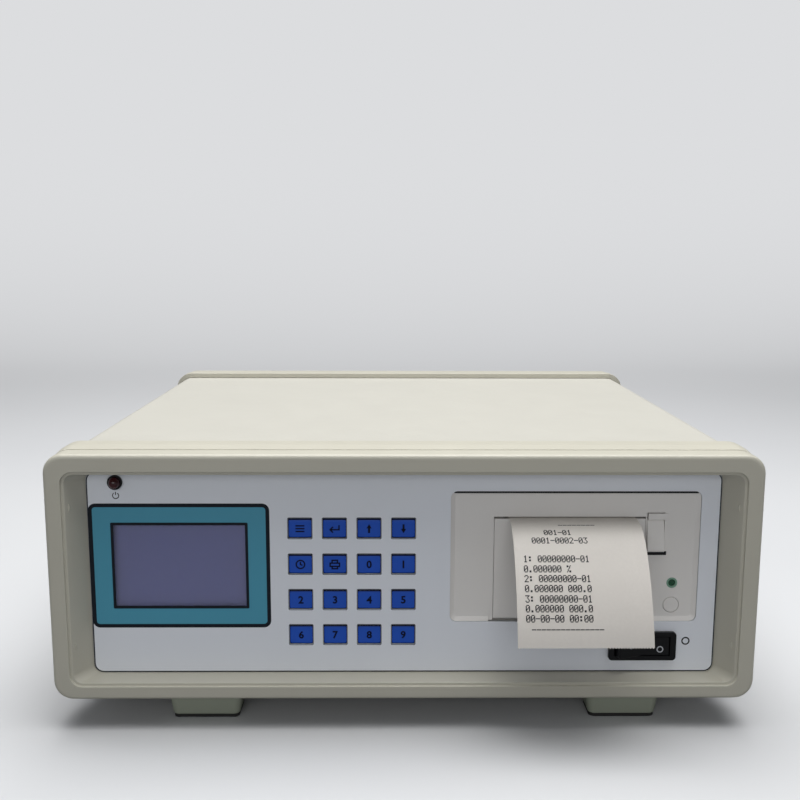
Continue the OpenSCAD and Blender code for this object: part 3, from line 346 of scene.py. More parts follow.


# ---- Feet ----
# Four tapered feet, moulded in ABS that is greener and duller than the frames', and darker as painted shade
# from the case above. A screw up a deep well fixes each to its frame, and a rubber pad is glued on below.

# The feet's darker colour is painted shade of the case over them.
foot_abs_shaded = moulded("abs_grey_green_painted_shade", "#A8AE9D", grain=0.7, depth=0.03, rough=0.5, cloud=0.04)
foot_w, foot_l, foot_y, foot_taper, pad_t = 35, 21, 20.5, 2, 1.5
narrow_w, narrow_l = foot_w - 2 * foot_taper, foot_l - 2 * foot_taper
well_r, well_d, chamfer = 3, 3, 0.3
# Each ring of a foot: its width, its length, its corners' radius, its height and its middle's depth.
foot_rings = (
    (2 * well_r, 2 * well_r, well_r - 0.01, foot_h - well_d, boss_y),
    (2 * well_r, 2 * well_r, well_r - 0.01, pad_t + chamfer, boss_y),
    (2 * well_r + 2 * chamfer, 2 * well_r + 2 * chamfer, well_r + chamfer - 0.01, pad_t, boss_y),
    (narrow_w - 1.6, narrow_l - 1.6, 2.4, pad_t, foot_y),
    (narrow_w - 0.5, narrow_l - 0.5, 2.8, pad_t + chamfer, foot_y),
    (narrow_w, narrow_l, 3, pad_t + 1, foot_y), (foot_w - 0.1, foot_l - 0.1, 4, foot_h - 0.6, foot_y),
    (foot_w, foot_l, 4, foot_h - 0.01, foot_y))
shape = bmesh.new()
for sx in (-1, 1):
    for start, way in ((case_low.y, 1), (case_high.y, -1)):
        loft(shape, [[(sx * boss_x + boss_shift + x, start + way * middle + y, z)
                      for x, y in outline(w, l, r)] for w, l, r, z, middle in foot_rings])
made = piece("moulded_feet", shape, "case", "frame_cream", foot_abs_shaded)
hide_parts("feet")

# Natural rubber, cut from sheet: dark grey, dull, dusty in its pores.
pad_rubber = moulded("rubber_grey_sheet", "#2E2E2C", grain=0.5, depth=0.05, rough=0.8, cloud=0.1, ior=1.52)
dress("foot_pads", pad_rubber, ease=0.3)


# ---- Front panel and its printed film ----
# An aluminium plate behind the recess, covered with a polyester film printed on its back in
# blue-grey, with a teal border round the display.

# Mill-finish aluminium: bright grey, with rolling lines along its length, 50 mm by half a mm.
panel_alu, tree, place = finish("aluminium_mill_finish", {"Base Color": colour("#C4C6C9"), "Metallic": 1.0})
drawn = add(tree, "ShaderNodeMapping", {0: place, 3: (20, 900, 1800)})
lines = add(tree, "ShaderNodeTexNoise", {"Vector": drawn, "Scale": 1.0, "Detail": 3})
gloss = add(tree, "ShaderNodeMapRange", {0: lines, 3: 0.28, 4: 0.5})
feed(tree, "Roughness", gloss)
bump = add(tree, "ShaderNodeBump", {"Height": lines, "Distance": 4e-6})
feed(tree, "Normal", bump)
dress("front_panel", panel_alu, ease=0)


def printed_film(name, code, rough=0.42, shine=0.5):
    """Polyester film, printed on its back, its ink a little uneven over 70 mm. Its velvet face has
    an even grain of 0.25 mm that spreads highlights, and it takes the waviness of the adhesive
    under it, about 20 mm wide."""
    made, tree, place = finish(name, {"IOR": 1.57, "Roughness": rough, "Specular IOR Level": shine})
    ink = add(tree, "ShaderNodeTexNoise", {"Vector": place, "Scale": 14, "Detail": 3})
    tone = add(tree, "ShaderNodeMix", {0: ink, 6: colour(code, 0.94), 7: colour(code)}, data_type="RGBA")
    feed(tree, "Base Color", tone.outputs[2])
    wave = add(tree, "ShaderNodeTexNoise", {"Vector": place, "Scale": 45, "Detail": 1})
    grain = add(tree, "ShaderNodeTexNoise", {"Vector": place, "Scale": 4000})
    under = add(tree, "ShaderNodeBump", {"Height": wave, "Distance": 3e-5})
    bump = add(tree, "ShaderNodeBump", {"Height": grain, "Distance": 6e-6, "Normal": under})
    feed(tree, "Normal", bump)
    return made


film_grey = printed_film("polyester_film_blue_grey", "#EBEFF6")
film_teal = printed_film("polyester_film_teal", "#479CB7")
# The blue-black is print on the display border, and painted shade round openings and the film's edge.
film_dark = printed_film("polyester_film_blue_black_and_painted_shade", "#0B1420", rough=0.5, shine=0.2)
dress("panel_film", film_grey, ease=0.12)


def middle_mm(node):
    """Middle of a CAD node's box, in millimetres."""
    return [(a + b) / 2 for a, b in zip(*box_mm(node))]


film_low, film_high = box_mm("panel_film")
film_y = film_low.y
window_low, window_high = box_mm("display_window")
window_x, _, window_z = middle_mm("display_window")
window_w, window_h = window_high.x - window_low.x, window_high.z - window_low.z
border_w, border_h, border_r = 80.25, 57.7, 3.2
border_x, border_z = -100.43, 72.34
line_w, inner_line, inner_r = 1.7, 0.7, 0.6
window_lap, window_r = 1.1, 0.3
ink_t, thick_ink_t = 0.05, 0.08


def flat_ring(shape, outer, inner, back=film_y, thick=ink_t):
    """A flat ring, its back at that depth. outer and inner are (X, Z, width, height, radius)."""
    front = back - thick
    rings = []
    for (x, z, w, h, r), y in ((outer, back), (outer, front), (inner, front), (inner, back)):
        rings.append([(x + px, y, z + pz) for px, pz in outline(w, h, r, steps=6)])
    loft(shape, rings, joined=True)


edge_line = (border_x, border_z, border_w, border_h, border_r)
teal_edge = (border_x, border_z, border_w - 2 * line_w, border_h - 2 * line_w, border_r - line_w)
inner_edge = (window_x, window_z, window_w + 2 * inner_line, window_h + 2 * inner_line, inner_r)
window_edge = (window_x, window_z, window_w - window_lap, window_h - window_lap, window_r)
# The outer dark line round the teal border is print; the inner dark ring round the window is painted shadow
# of its recess, laid over the window's edge.
shape = bmesh.new()
flat_ring(shape, edge_line, teal_edge)
flat_ring(shape, inner_edge, window_edge, thick=thick_ink_t)
piece("display_border_print_and_shade", shape, "case", "panel_film", film_dark)
shape = bmesh.new()
flat_ring(shape, teal_edge, inner_edge)
piece("display_border_teal", shape, "case", "panel_film", film_teal)

# The film runs on to the recess's floor, and a thin dark line of painted shadow runs all round its edge.
film_mid = 0, (film_low.z - film_drop + film_high.z) / 2
film_w, film_h = film_high.x - film_low.x, film_high.z - film_low.z + film_drop
film_r, margin_h, margin_proud, margin_back = 4, 3.4, 0.02, 0.48
shade_line_w, shade_line_r, shade_line_t = 0.9, 3.6, 0.02
lower_edge = [(x, film_mid[1] + z) for x, z in outline(film_w, film_h, film_r) if z < 0]
margin = lower_edge + [(film_w / 2, film_low.z + margin_h), (-film_w / 2, film_low.z + margin_h)]
shape = bmesh.new()
loft(shape, [[(x, y, z) for x, z in margin] for y in (film_y - margin_proud, film_y + margin_back)])
piece("film_lower_margin", shape, "case", "panel_film", film_grey)
# The thin dark ring on the film's edge is painted shadow of the gap to the frame.
shape = bmesh.new()
flat_ring(shape, (*film_mid, film_w, film_h, film_r), (*film_mid, film_w - shade_line_w, film_h - shade_line_w, shade_line_r),
          back=film_y - margin_proud, thick=shade_line_t)
piece("film_edge_painted_shadow", shape, "case", "panel_film", film_dark)


# ---- Display ----
# A graphic display of 128 by 64 dots: polarised glass in a black bezel, clipped to its own board.
# It lies behind a clear window of cast acrylic, which is stuck into the panel.

# Cast acrylic, tinted grey: it keeps a clean reflection, dulled by smears about 25 mm wide, and
# dims what lies behind.
window_acrylic, tree, place = finish("acrylic_window_tinted", {
    "Base Color": colour("#DADCEC"), "IOR": 1.49, "Transmission Weight": 0.93})
smear = add(tree, "ShaderNodeTexNoise", {"Vector": place, "Scale": 40, "Detail": 5})
gloss = add(tree, "ShaderNodeMapRange", {0: smear, 3: 0.06, 4: 0.16})
feed(tree, "Roughness", gloss)
dress("display_window", window_acrylic, ease=0.15)

# Display glass, unlit: violet-grey from its polariser, and uneven in patches of 50 mm.
display_glass, tree, place = finish("polarised_display_glass", {"Roughness": 0.22, "IOR": 1.52})
haze = add(tree, "ShaderNodeTexNoise", {"Vector": place, "Scale": 20, "Detail": 2})
tone = add(tree, "ShaderNodeMix", {0: haze, 6: colour("#B4B9F0"), 7: colour("#B9BCEC")}, data_type="RGBA")
feed(tree, "Base Color", tone.outputs[2])
dress("lcd_glass", display_glass, ease=0.1)

# Black ABS of bezels and holders: deep grey-black, satin.
black_abs = moulded("abs_black_satin", "#121316", grain=0.4, depth=0.01, rough=0.45, cloud=0.08, shine=0.25)
dress("lcd_bezel", black_abs, ease=0.15)

# Circuit board: green solder mask over copper tracks on a grid of 5.08 mm; glossy, and raised
# over the copper.
circuit_board, tree, place = finish("epoxy_board_green_mask", {"IOR": 1.55, "Roughness": 0.3})
tracks = add(tree, "ShaderNodeTexBrick", {
    "Vector": place, "Scale": 1000 / 5.08, "Mortar Size": 0.06, "Brick Width": 1.5, "Row Height": 0.5,
    "Color1": colour("#14532F"), "Color2": colour("#17603A"), "Mortar": colour("#2E8A55")})
feed(tree, "Base Color", tracks)
bump = add(tree, "ShaderNodeBump", {"Height": tracks.outputs["Fac"], "Distance": 3e-5})
feed(tree, "Normal", bump)
dress("lcd_board", circuit_board, ease=0.1)


# ---- Power light ----
# A 5 mm red light emitting diode, cast in epoxy, held in the panel by a black clip ring. A small
# power sign is printed on the film below it.

def lens_plastic(name, code):
    """Cast epoxy lens, unlit: deep coloured, clearer at its rim, with a haze of 1 mm specks."""
    made, tree, place = finish(name, {"IOR": 1.54, "Transmission Weight": 0.35})
    depth = add(tree, "ShaderNodeLayerWeight", {"Blend": 0.35})
    tone = add(tree, "ShaderNodeMix", {
        0: depth.outputs["Facing"], 6: colour(code, 0.55), 7: colour(code, 1.3)}, data_type="RGBA")
    feed(tree, "Base Color", tone.outputs[2])
    haze = add(tree, "ShaderNodeTexNoise", {"Vector": place, "Scale": 900})
    gloss = add(tree, "ShaderNodeMapRange", {0: haze, 3: 0.08, 4: 0.2})
    feed(tree, "Roughness", gloss)
    return made


dress("power_light", lens_plastic("epoxy_lens_red", "#560A17"), ease=0.05)
dress("light_holder", black_abs, ease=0.12)

# Screen-printing ink: flat black, a hair thick.
black_ink = moulded("screen_ink_black", "#15171C", grain=0.3, depth=0.004, rough=0.55, cloud=0.1, shine=0.2)


def facing_front(x, y, z):
    """Places a mark at a spot: across is to the right, height up, and depth to the front."""
    return lambda across, height, depth: (x + across, y - depth, z + height)


def stroke(shape, points, width, spot, closed=False):
    """A printed line of that width along points, placed by spot. Sharp corners are cut short."""
    points = [Vector(p) for p in points]
    count, sharpest = len(points), 0.4
    sections = []
    for i, p in enumerate(points):
        before = points[i - 1] if closed or i else p
        after = points[(i + 1) % count] if closed or i < count - 1 else p
        sides = [Vector((-d.y, d.x)).normalized() for d in (p - before, after - p) if d.length]
        out = sum(sides, Vector((0, 0))).normalized()
        out *= width / 2 / max(out.dot(sides[0]), sharpest)
        sections.append([spot(*(p + out * side), depth)
                         for side, depth in ((1, 0), (1, ink_t), (-1, ink_t), (-1, 0))])
    loft(shape, sections, joined=closed)


def circle(radius, start=0.0, end=360.0):
    """Points along a circle, from one angle in degrees to another."""
    sides = 24
    turns = [math.radians(start + (end - start) * i / sides) for i in range(sides + (end - start < 360))]
    return [(radius * math.cos(a), radius * math.sin(a)) for a in turns]


# The power sign: a ring open at its top, and a bar in its opening.
light_x, _, light_z = middle_mm("light_holder")
power_drop, power_r, power_line = 6.1, 1.35, 0.38
power_spot = facing_front(light_x, film_y, light_z - power_drop)
shape = bmesh.new()
stroke(shape, circle(power_r, 125, 415), power_line, power_spot)
stroke(shape, [(0, 0.25), (0, 1.7)], power_line, power_spot)
piece("power_sign", shape, "case", "panel_film", black_ink)


# ---- Keypad ----
# Sixteen keycaps, moulded in blue ABS, each with a flange behind the plate and a stem in its switch; the
# blue-black of their skirts is painted shade round each face.
# Digits are printed on ten of them, and plain signs on the others.

# ABS keycap plastic: saturated blue, satin, slightly glossier where fingers have rubbed it.
key_abs = moulded("abs_blue_satin", "#1E57C8", grain=0.35, depth=0.008, rough=0.4, cloud=0.08, shine=0.3)
# The skirt and shoulders of a cap are blue-black: painted shade that frames its face, wider above and below.
painted_shade_skirt = moulded("abs_blue_painted_shade", "#0C1838", grain=0.35, depth=0.008, rough=0.5, cloud=0.08, shine=0.2)
# Legend ink: blue-black and matt, a little uneven from rubbing.
legend_ink = moulded("legend_ink_blue_black", "#060D22", grain=0.3, depth=0.004, rough=0.5, cloud=0.15,
                     shine=0.15)

cap_sink, cap_lip, cap_depth, cap_r = 0.35, 1.45, 2.35, 0.6
# The shoulders set how wide the band of painted shade is round a face: wider at top and bottom.
shoulder_x, shoulder_z, shoulder_t = 0.22, 0.65, 0.35
face_drop, face_bevel, crown, crown_in = 0.3, 0.12, 0.06, 2
flange_t, stem_r = 0.7, 1.6
legend_line, legend_sunk, digit_h = 0.62, 0.05, 3.6
opening_x, opening_z, opening_gap, opening_t = 0.6, 0.8, 0.2, 0.03


def digit(shape, text, height, spot):
    """A printed digit of that height, placed by spot and centred on it."""
    curve = bpy.data.curves.new("digit", "FONT")
    curve.body = text
    curve.resolution_u = 3
    curve.offset = 0.03
    curve.extrude = 0.5
    drawn = bpy.data.objects.new("digit", curve)
    bpy.context.scene.collection.objects.link(drawn)
    bpy.context.view_layer.update()
    mesh = bpy.data.meshes.new_from_object(drawn)
    bpy.data.objects.remove(drawn)
    points = [v.co for v in mesh.vertices]
    low = Vector([min(p[i] for p in points) for i in range(3)])
    high = Vector([max(p[i] for p in points) for i in range(3)])
    scale = height / (high.y - low.y)
    for v in mesh.vertices:
        across = (v.co.x - (low.x + high.x) / 2) * scale
        v.co = spot(across, (v.co.y - low.y) * scale - height / 2, ink_t if v.co.z > 0 else 0)
    kept = len(shape.verts)
    shape.from_mesh(mesh)
    shape.verts.ensure_lookup_table()
    bmesh.ops.remove_doubles(shape, verts=shape.verts[kept:], dist=1e-4)
    bpy.data.meshes.remove(mesh)


def arrow(shape, spot, way):
    """A thick arrow that points up or down."""
    stroke(shape, [(0, -2.0 * way), (0, 0.3 * way)], 0.9, spot)
    head = [(-1.15, 0.1 * way), (1.15, 0.1 * way), (0, 2.1 * way)]
    loft(shape, [[spot(*p, 0) for p in head], [spot(*p, ink_t) for p in head]])


def sign_lines(*lines):
    """A sign drawn as strokes, each a list of points, closed where it ends on its start."""
    def draw(shape, spot):
        for line in lines:
            closed = line[0] == line[-1]
            stroke(shape, line[:-1] if closed else line, legend_line, spot, closed)
    return draw


bars = [[(-2, v), (2, v)] for v in (1.3, 0, -1.3)]
legends = {
    "key_menu": sign_lines(*bars),
    "key_enter": sign_lines([(2, 1.6), (2, -0.5), (-1.9, -0.5)], [(-0.7, 0.8), (-2, -0.5), (-0.7, -1.8)]),
    "key_up": lambda shape, spot: arrow(shape, spot, 1),
    "key_down": lambda shape, spot: arrow(shape, spot, -1),
    "key_clock": sign_lines(circle(1.9) + [(1.9, 0.0)], [(0, 1.2), (0, 0), (0.9, -0.4)]),
    "key_print": sign_lines([(-2.1, -0.9), (-2.1, 0.6), (2.1, 0.6), (2.1, -0.9), (-2.1, -0.9)],
                            [(-1.2, 0.7), (-1.2, 1.9), (1.2, 1.9), (1.2, 0.7)],
                            [(-1.2, -1.0), (-1.2, -2.0), (1.2, -2.0), (1.2, -1.0)]),
}
key_gap_shade = bmesh.new()
for key in [*legends, *(f"key_{i}" for i in range(10))]:
    low, high = box_mm(key)
    x, _, z = middle_mm(key)
    w, h = high.x - low.x, high.z - low.z
    cap_w, cap_h = w - cap_lip, h - cap_lip
    face_w, face_h = cap_w - 2 * shoulder_x, cap_h - 2 * shoulder_z
    face = low.y + cap_sink
    shoulder, behind = face + shoulder_t, low.y + cap_depth
    # The face, which sits a little low on its cap, and then the skirt and the flange.
    raised = ((face_w - crown_in, face_h - crown_in, 0.5, face - crown),
              (face_w - 0.3, face_h - 0.3, 0.5, face),
              (face_w, face_h, cap_r, face + face_bevel), (face_w, face_h, cap_r, shoulder))
    skirt = ((cap_w - 0.2, cap_h - 0.2, 0.5, shoulder), (cap_w, cap_h, cap_r, shoulder + 0.1),
             (cap_w, cap_h, cap_r, behind), (w, h, cap_r, behind), (w, h, cap_r, behind + flange_t))
    shape = bmesh.new()
    loft(shape, [[(x + px, y, middle + pz) for px, pz in outline(rw, rh, r, steps=4)]
                 for middle, rings in ((z - face_drop, raised), (z, skirt)) for rw, rh, r, y in rings])
    # Faces behind the face's front take the blue-black of painted shade.
    for side in shape.faces:
        side.material_index = int(min(v.co.y for v in side.verts) > face + face_bevel / 2)
    rod(shape, (x, behind + flange_t - 0.1, z), (x, high.y, z), stem_r)
    cap = piece(f"cap_{key}", shape, key, "key_blue", key_abs, painted_shade_skirt)
    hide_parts(key)
    # A dark ring on the film round each opening is painted shadow of the gap round the cap.
    flat_ring(key_gap_shade, (x, z, cap_w + opening_x, cap_h + opening_z, 0.7),
              (x, z, cap_w + opening_gap, cap_h + opening_gap, 0.5), thick=opening_t)
    shape = bmesh.new()
    spot = facing_front(x, face - legend_sunk, z - face_drop)
    if key in legends:
        legends[key](shape, spot)
    else:
        digit(shape, key[-1], digit_h, spot)
    piece(f"legend_{key}", shape, key, "key_blue", legend_ink)

# The rings round the openings are painted shadow.
piece("key_opening_edges", key_gap_shade, "case", "panel_film", film_dark)
dress("keypad_board", circuit_board, ease=0.1)


# ---- Printer ----
# A panel printer in warm grey ABS: a housing with the paper bay, a door that swings down on its
# bottom edge, a sliding latch, a feed button and a green light. Steel clamps hold it in the panel.

# The printer's ABS: pale and warm, with the fine satin texture of a small moulding.
printer_abs = moulded("abs_warm_grey", "#ECE9E5", grain=0.45, depth=0.02, rough=0.42, cloud=0.03)
for node, ease in (("printer_housing", 0.5), ("printer_door", 0.25), ("door_latch", 0.35),
                   ("feed_button", 0.3)):
    dress(node, printer_abs, ease)

# A lip slopes down to the face all round, and leaves out the door's hinge edge.
fascia_low, fascia_high = box_mm("printer_housing")
door_low, door_high = box_mm("printer_door")
hidden_flange, lip_w, lip_d, lip_back, lip_front, door_gap = 3.2, 2.0, 1.0, 0.3, 0.02, 0.6
fascia_w = fascia_high.x - fascia_low.x - 2 * hidden_flange
fascia_h = fascia_high.z - fascia_low.z - 2 * hidden_flange
fascia_x, _, fascia_z = middle_mm("printer_housing")
fascia_y = fascia_low.y
slopes = []
for w, h, r in ((fascia_w - 0.1, fascia_h - 0.1, 3), (fascia_w - 2 * lip_w, fascia_h - 2 * lip_w, 1.5)):
    side = [(fascia_x + x, fascia_z + z) for x, z in outline(w, h, r)]
    quarter = len(side) // 4
    around = side[3 * quarter:] + side[:3 * quarter]
    slopes.append([(door_high.x + door_gap, around[0][1]), *around, (door_low.x - door_gap, around[-1][1])])
shape = bmesh.new()
loft(shape, [[(x, fascia_y + lip_back, z), (x, fascia_y - lip_d, z), (u, fascia_y - lip_front, v),
              (u, fascia_y + lip_back, v)] for (x, z), (u, v) in zip(*slopes)])
piece("printer_face_lip", shape, "case", "printer_grey", printer_abs)

# Dark strips are painted shadow: one in the gap above the lip, one in the slot under the latch. Each strip:
# its sides, its bottom and top, and how far it stands proud of the face.
gap_painted_shadow = moulded("painted_shadow_black", "#0B0E10", grain=0.3, depth=0.03, rough=0.8, cloud=0.1)
latch_low, latch_high = box_mm("door_latch")
gap_side, gap_z = fascia_w / 2, fascia_z + fascia_h / 2
shadow_strips = ((fascia_x - gap_side + 1.5, fascia_x + gap_side - 1.5, gap_z - 1.0, gap_z + 0.8, 1.35),
               (latch_low.x + 0.4, latch_high.x - 0.4, latch_low.z - 1.9, latch_low.z - 0.1, 0.03))
shadow_back = 0.1
shape = bmesh.new()
for x0, x1, z0, z1, proud in shadow_strips:
    loft(shape, [[(x0, y, z0), (x1, y, z0), (x1, y, z1), (x0, y, z1)]
                 for y in (fascia_y - proud, fascia_y + shadow_back)])
# These dark strips are painted shadow, not a part of the printer.
piece("printer_painted_shadow", shape, "case", "printer_grey", gap_painted_shadow)

# The green light's flange is of the same resin as its lens, thin and paler.
dress("printer_light", lens_plastic("epoxy_lens_green", "#1C7A4E"), ease=0.25)
flange_epoxy = moulded("epoxy_flange_pale_green", "#7FAA92", grain=0.3, depth=0.003, rough=0.35, cloud=0.1)
lens_x, _, lens_z = middle_mm("printer_light")
collar_d, collar_r, bore_d, bore_r, collar_t = 4.9, 2.4, 3.2, 1.55, 0.12
shape = bmesh.new()
flat_ring(shape, (lens_x, lens_z, collar_d, collar_d, collar_r), (lens_x, lens_z, bore_d, bore_d, bore_r),
          back=fascia_y, thick=collar_t)
piece("printer_light_flange", shape, "case", "printer_grey", flange_epoxy)

# The latch ends above in a flat bar, which runs over the face as the latch slides up.
bar_top, bar_foot, bar_proud, bar_clear, bar_root = latch_high.z - 1.25, latch_high.z - 4.2, 0.75, 0.1, 1.05
bar_ends = latch_low.x + 0.25, latch_low.x + 9.1
profile = [(-bar_proud, bar_foot + 0.1), (-bar_proud, bar_top), (-bar_clear, bar_top),
           (-bar_clear, bar_foot + 0.3), (bar_root, bar_foot), (bar_root, bar_foot - 0.6)]
shape = bmesh.new()
loft(shape, [[(x, fascia_y + y, z) for y, z in profile] for x in bar_ends])
piece("latch_bar", shape, "latch", "printer_grey", printer_abs)
dress("printer_board", circuit_board, ease=0.1)

# Platen rubber: ground nitrile, dark grey, with faint grinding rings 2 mm apart.
platen_rubber, tree, place = finish("nitrile_rubber_ground", {"Base Color": colour("#2A2A2B"), "IOR": 1.52})
rings = add(tree, "ShaderNodeTexWave", {"Vector": place, "Scale": 160, "Distortion": 0.4},
            wave_type="BANDS", bands_direction="X")
gloss = add(tree, "ShaderNodeMapRange", {0: rings, 3: 0.55, 4: 0.75})
feed(tree, "Roughness", gloss)
bump = add(tree, "ShaderNodeBump", {"Height": rings, "Distance": 8e-6})
feed(tree, "Normal", bump)
dress("platen_roller", platen_rubber, ease=0.3)


def metal(name, code, rough, grain, scale=(1, 1, 1)):
    """Bare metal. Its tool marks have that width in mm and are drawn out along the axes where
    scale is small; the oxide between them is duller."""
    made, tree, place = finish(name, {"Metallic": 1.0})
    drawn = add(tree, "ShaderNodeMapping", {0: place, 3: [1000 / grain * s for s in scale]})
    marks = add(tree, "ShaderNodeTexNoise", {"Vector": drawn, "Scale": 1.0, "Detail": 3})
    tone = add(tree, "ShaderNodeMix", {0: marks, 6: colour(code, 0.85), 7: colour(code)}, data_type="RGBA")
    feed(tree, "Base Color", tone.outputs[2])
    gloss = add(tree, "ShaderNodeMapRange", {0: marks, 3: rough - 0.08, 4: rough + 0.08})
    feed(tree, "Roughness", gloss)
    bump = add(tree, "ShaderNodeBump", {"Height": marks, "Distance": 3e-6})
    feed(tree, "Normal", bump)
    return made


# Turned steel, bright, with fine rings; pressed steel, duller, with a rolled grain.
turned_steel = metal("steel_turned", "#C9C9C6", 0.28, 0.15, scale=(1, 0.05, 0.05))
pressed_steel = metal("steel_galvanised_pressed", "#A9ACAE", 0.42, 2.0)
dress("platen_shaft", turned_steel, ease=0.2)
dress("printer_clamps", pressed_steel, ease=0.2)
dress("printer_motor", pressed_steel, ease=0.4)
dress("thermal_head", metal("aluminium_plate_brushed", "#B9BCC0", 0.35, 0.2, scale=(0.03, 1, 1)), ease=0.15)
# Acetal: milky white and waxy. Brass: machined, warm yellow.
acetal = moulded("acetal_white_waxy", "#E4E2DA", grain=0.4, depth=0.006, rough=0.34, cloud=0.03, ior=1.48)
dress("platen_gear", acetal, ease=0)
dress("idler_gear", acetal, ease=0)
dress("motor_pinion", metal("brass_machined", "#C9A45A", 0.3, 0.2), ease=0)


# ---- Paper ----
# Thermal paper, 57 mm wide: a roll in the bay, and one sheet that runs up round the platen, out
# of the slit over the door and down in front, with the saw-toothed edge of its last tear.

# Coated paper: warm white and smooth, with fibres of 1 mm in clouds of 17 mm, and a weak sheen.
thermal_paper, tree, place = finish("thermal_paper_coated", {"IOR": 1.5, "Roughness": 0.6})
fibres = add(tree, "ShaderNodeTexNoise", {"Vector": place, "Scale": 900, "Detail": 3})
cloud = add(tree, "ShaderNodeTexNoise", {"Vector": place, "Scale": 60, "Detail": 2})
both = add(tree, "ShaderNodeMath", {0: fibres, 1: cloud}, operation="MULTIPLY")
tone = add(tree, "ShaderNodeMix", {0: both, 6: colour("#CFCAC3"), 7: colour("#DCD7D0")}, data_type="RGBA")
feed(tree, "Base Color", tone.outputs[2])
bump = add(tree, "ShaderNodeBump", {"Height": fibres, "Distance": 4e-6})
feed(tree, "Normal", bump)

platen_low, platen_high = box_mm("platen_roller")
roll_low, roll_high = box_mm("paper_roll")
strip_low, strip_high = box_mm("paper_strip")
platen_at, roll_at = (Vector(middle_mm(node)[1:]) for node in ("platen_roller", "paper_roll"))
paper_w, paper_t, wrap_gap, roll_gap = 57, 0.12, 0.25, 0.2
wrap_r = (platen_high.z - platen_low.z) / 2 + wrap_gap
roll_r = (roll_high.z - roll_low.z) / 2 + roll_gap
door_t, slit_rise, fold_out, hang_in = 2.6, 0.5, 1, 0.1
slit = Vector((door_low.y + door_t, door_high.z + slit_rise))
fold_y = door_low.y - fold_out
fold_r, fold_turn, past_fold, hang_turn, arc_steps = 24.3, 50, 2, 76, 14


def turned(degrees):
    """Unit vector in Y and Z at that angle."""
    return Vector((math.cos(math.radians(degrees)), math.sin(math.radians(degrees))))


def arc(centre, radius, start, end, steps):
    """Points along an arc, in Y and Z."""
    return [centre + radius * turned(start + (end - start) * i / steps) for i in range(steps + 1)]


span = roll_at - platen_at
web_turn = math.degrees(math.atan2(span.y, span.x) - math.asin((roll_r + wrap_r) / span.length))
way_out = slit - platen_at
exit_turn = math.degrees(math.atan2(way_out.y, way_out.x) - math.acos(wrap_r / way_out.length))
fold_at = Vector((fold_y, slit.y - fold_r))
reach = fold_y - strip_low.y - hang_in
hang_r = (reach - fold_r * math.sin(math.radians(fold_turn))) / (
    math.sin(math.radians(hang_turn)) - math.sin(math.radians(fold_turn)))
hang_at = fold_at + (fold_r - hang_r) * turned(90 + fold_turn)
route = [roll_at + roll_r * turned(web_turn - 90),
         *arc(platen_at, wrap_r, web_turn + 90, exit_turn, arc_steps),
         slit, *arc(fold_at, fold_r, 90, 90 + fold_turn, arc_steps),
         *arc(hang_at, hang_r, 90 + fold_turn + past_fold, 90 + hang_turn, arc_steps)]
run = [0.0]
for a, b in zip(route, route[1:]):
    run.append(run[-1] + (b - a).length)
paper_l = run[-1]
paper_x0, paper_x1 = strip_low.x, strip_high.x


def on_paper(x, along, lift=0.0):
    """Point on the paper, that far along its route from the roll, and lift off its front side."""
    i = max(k for k in range(len(run) - 1) if run[k] <= along or k == 0)
    way = route[i + 1] - route[i]
    point = route[i] + way * (along - run[i]) / (run[i + 1] - run[i])
    out = Vector((way.y, -way.x)).normalized()
    return x, point.x + out.x * lift, point.y + out.y * lift


tooth_w, tooth_d, row_step = 0.6, 0.55, 1.5
columns = round((paper_x1 - paper_x0) / tooth_w)
evenly = {i * row_step for i in range(int(paper_l / row_step))
          if min(abs(i * row_step - v) for v in run) > 0.5}
lengths = [*sorted({round(v, 3) for v in run[:-1]} | evenly), paper_l]
shape = bmesh.new()
sheets = [[[shape.verts.new(on_paper(paper_x0 + (paper_x1 - paper_x0) * i / columns,
                                     min(along, paper_l - tooth_d * (i % 2)), lift))
            for i in range(columns + 1)] for along in lengths] for lift in (-paper_t / 2, paper_t / 2)]
for sheet in sheets:
    for a, b in zip(sheet, sheet[1:]):
        for i in range(columns):
            shape.faces.new((a[i], a[i + 1], b[i + 1], b[i]))
low, high = sheets
rim = ([(0, i) for i in range(columns)] + [(k, columns) for k in range(len(low) - 1)]
       + [(len(low) - 1, i) for i in range(columns, 0, -1)] + [(k, 0) for k in range(len(low) - 1, 0, -1)])
for (a, b), (c, d) in zip(rim, rim[1:] + rim[:1]):
    shape.faces.new((low[a][b], low[c][d], high[c][d], high[a][b]))
strip = piece("receipt_paper", shape, None, "paper", thermal_paper, angle=60)
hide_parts("paper_strip")

# The print is made of rows of dots, as the head's heaters leave them, in plain numbers only.
dots = {
    "0": "01110 10001 10011 10101 11001 10001 01110", "1": "00100 01100 00100 00100 00100 00100 01110",
    "2": "01110 10001 00001 00010 00100 01000 11111", "3": "11111 00010 00100 00010 00001 10001 01110",
    "4": "00010 00110 01010 10010 11111 00010 00010", "5": "11111 10000 11110 00001 00001 10001 01110",
    "6": "00110 01000 10000 11110 10001 10001 01110", "7": "11111 00001 00010 00100 01000 01000 01000",
    "8": "01110 10001 10001 01110 10001 10001 01110", "9": "01110 10001 10001 01111 00001 00010 01100",
    "-": "00000 00000 00000 11111 00000 00000 00000", ".": "00000 00000 00000 00000 00000 01100 01100",
    ":": "00000 01100 01100 00000 01100 01100 00000", "%": "11001 11010 00010 00100 01000 01011 10011",
}
dot, dot_h, bleed, figure_dots = 0.338, 0.44, 0.15, 6
print_t, print_sunk = 0.02, 0.01
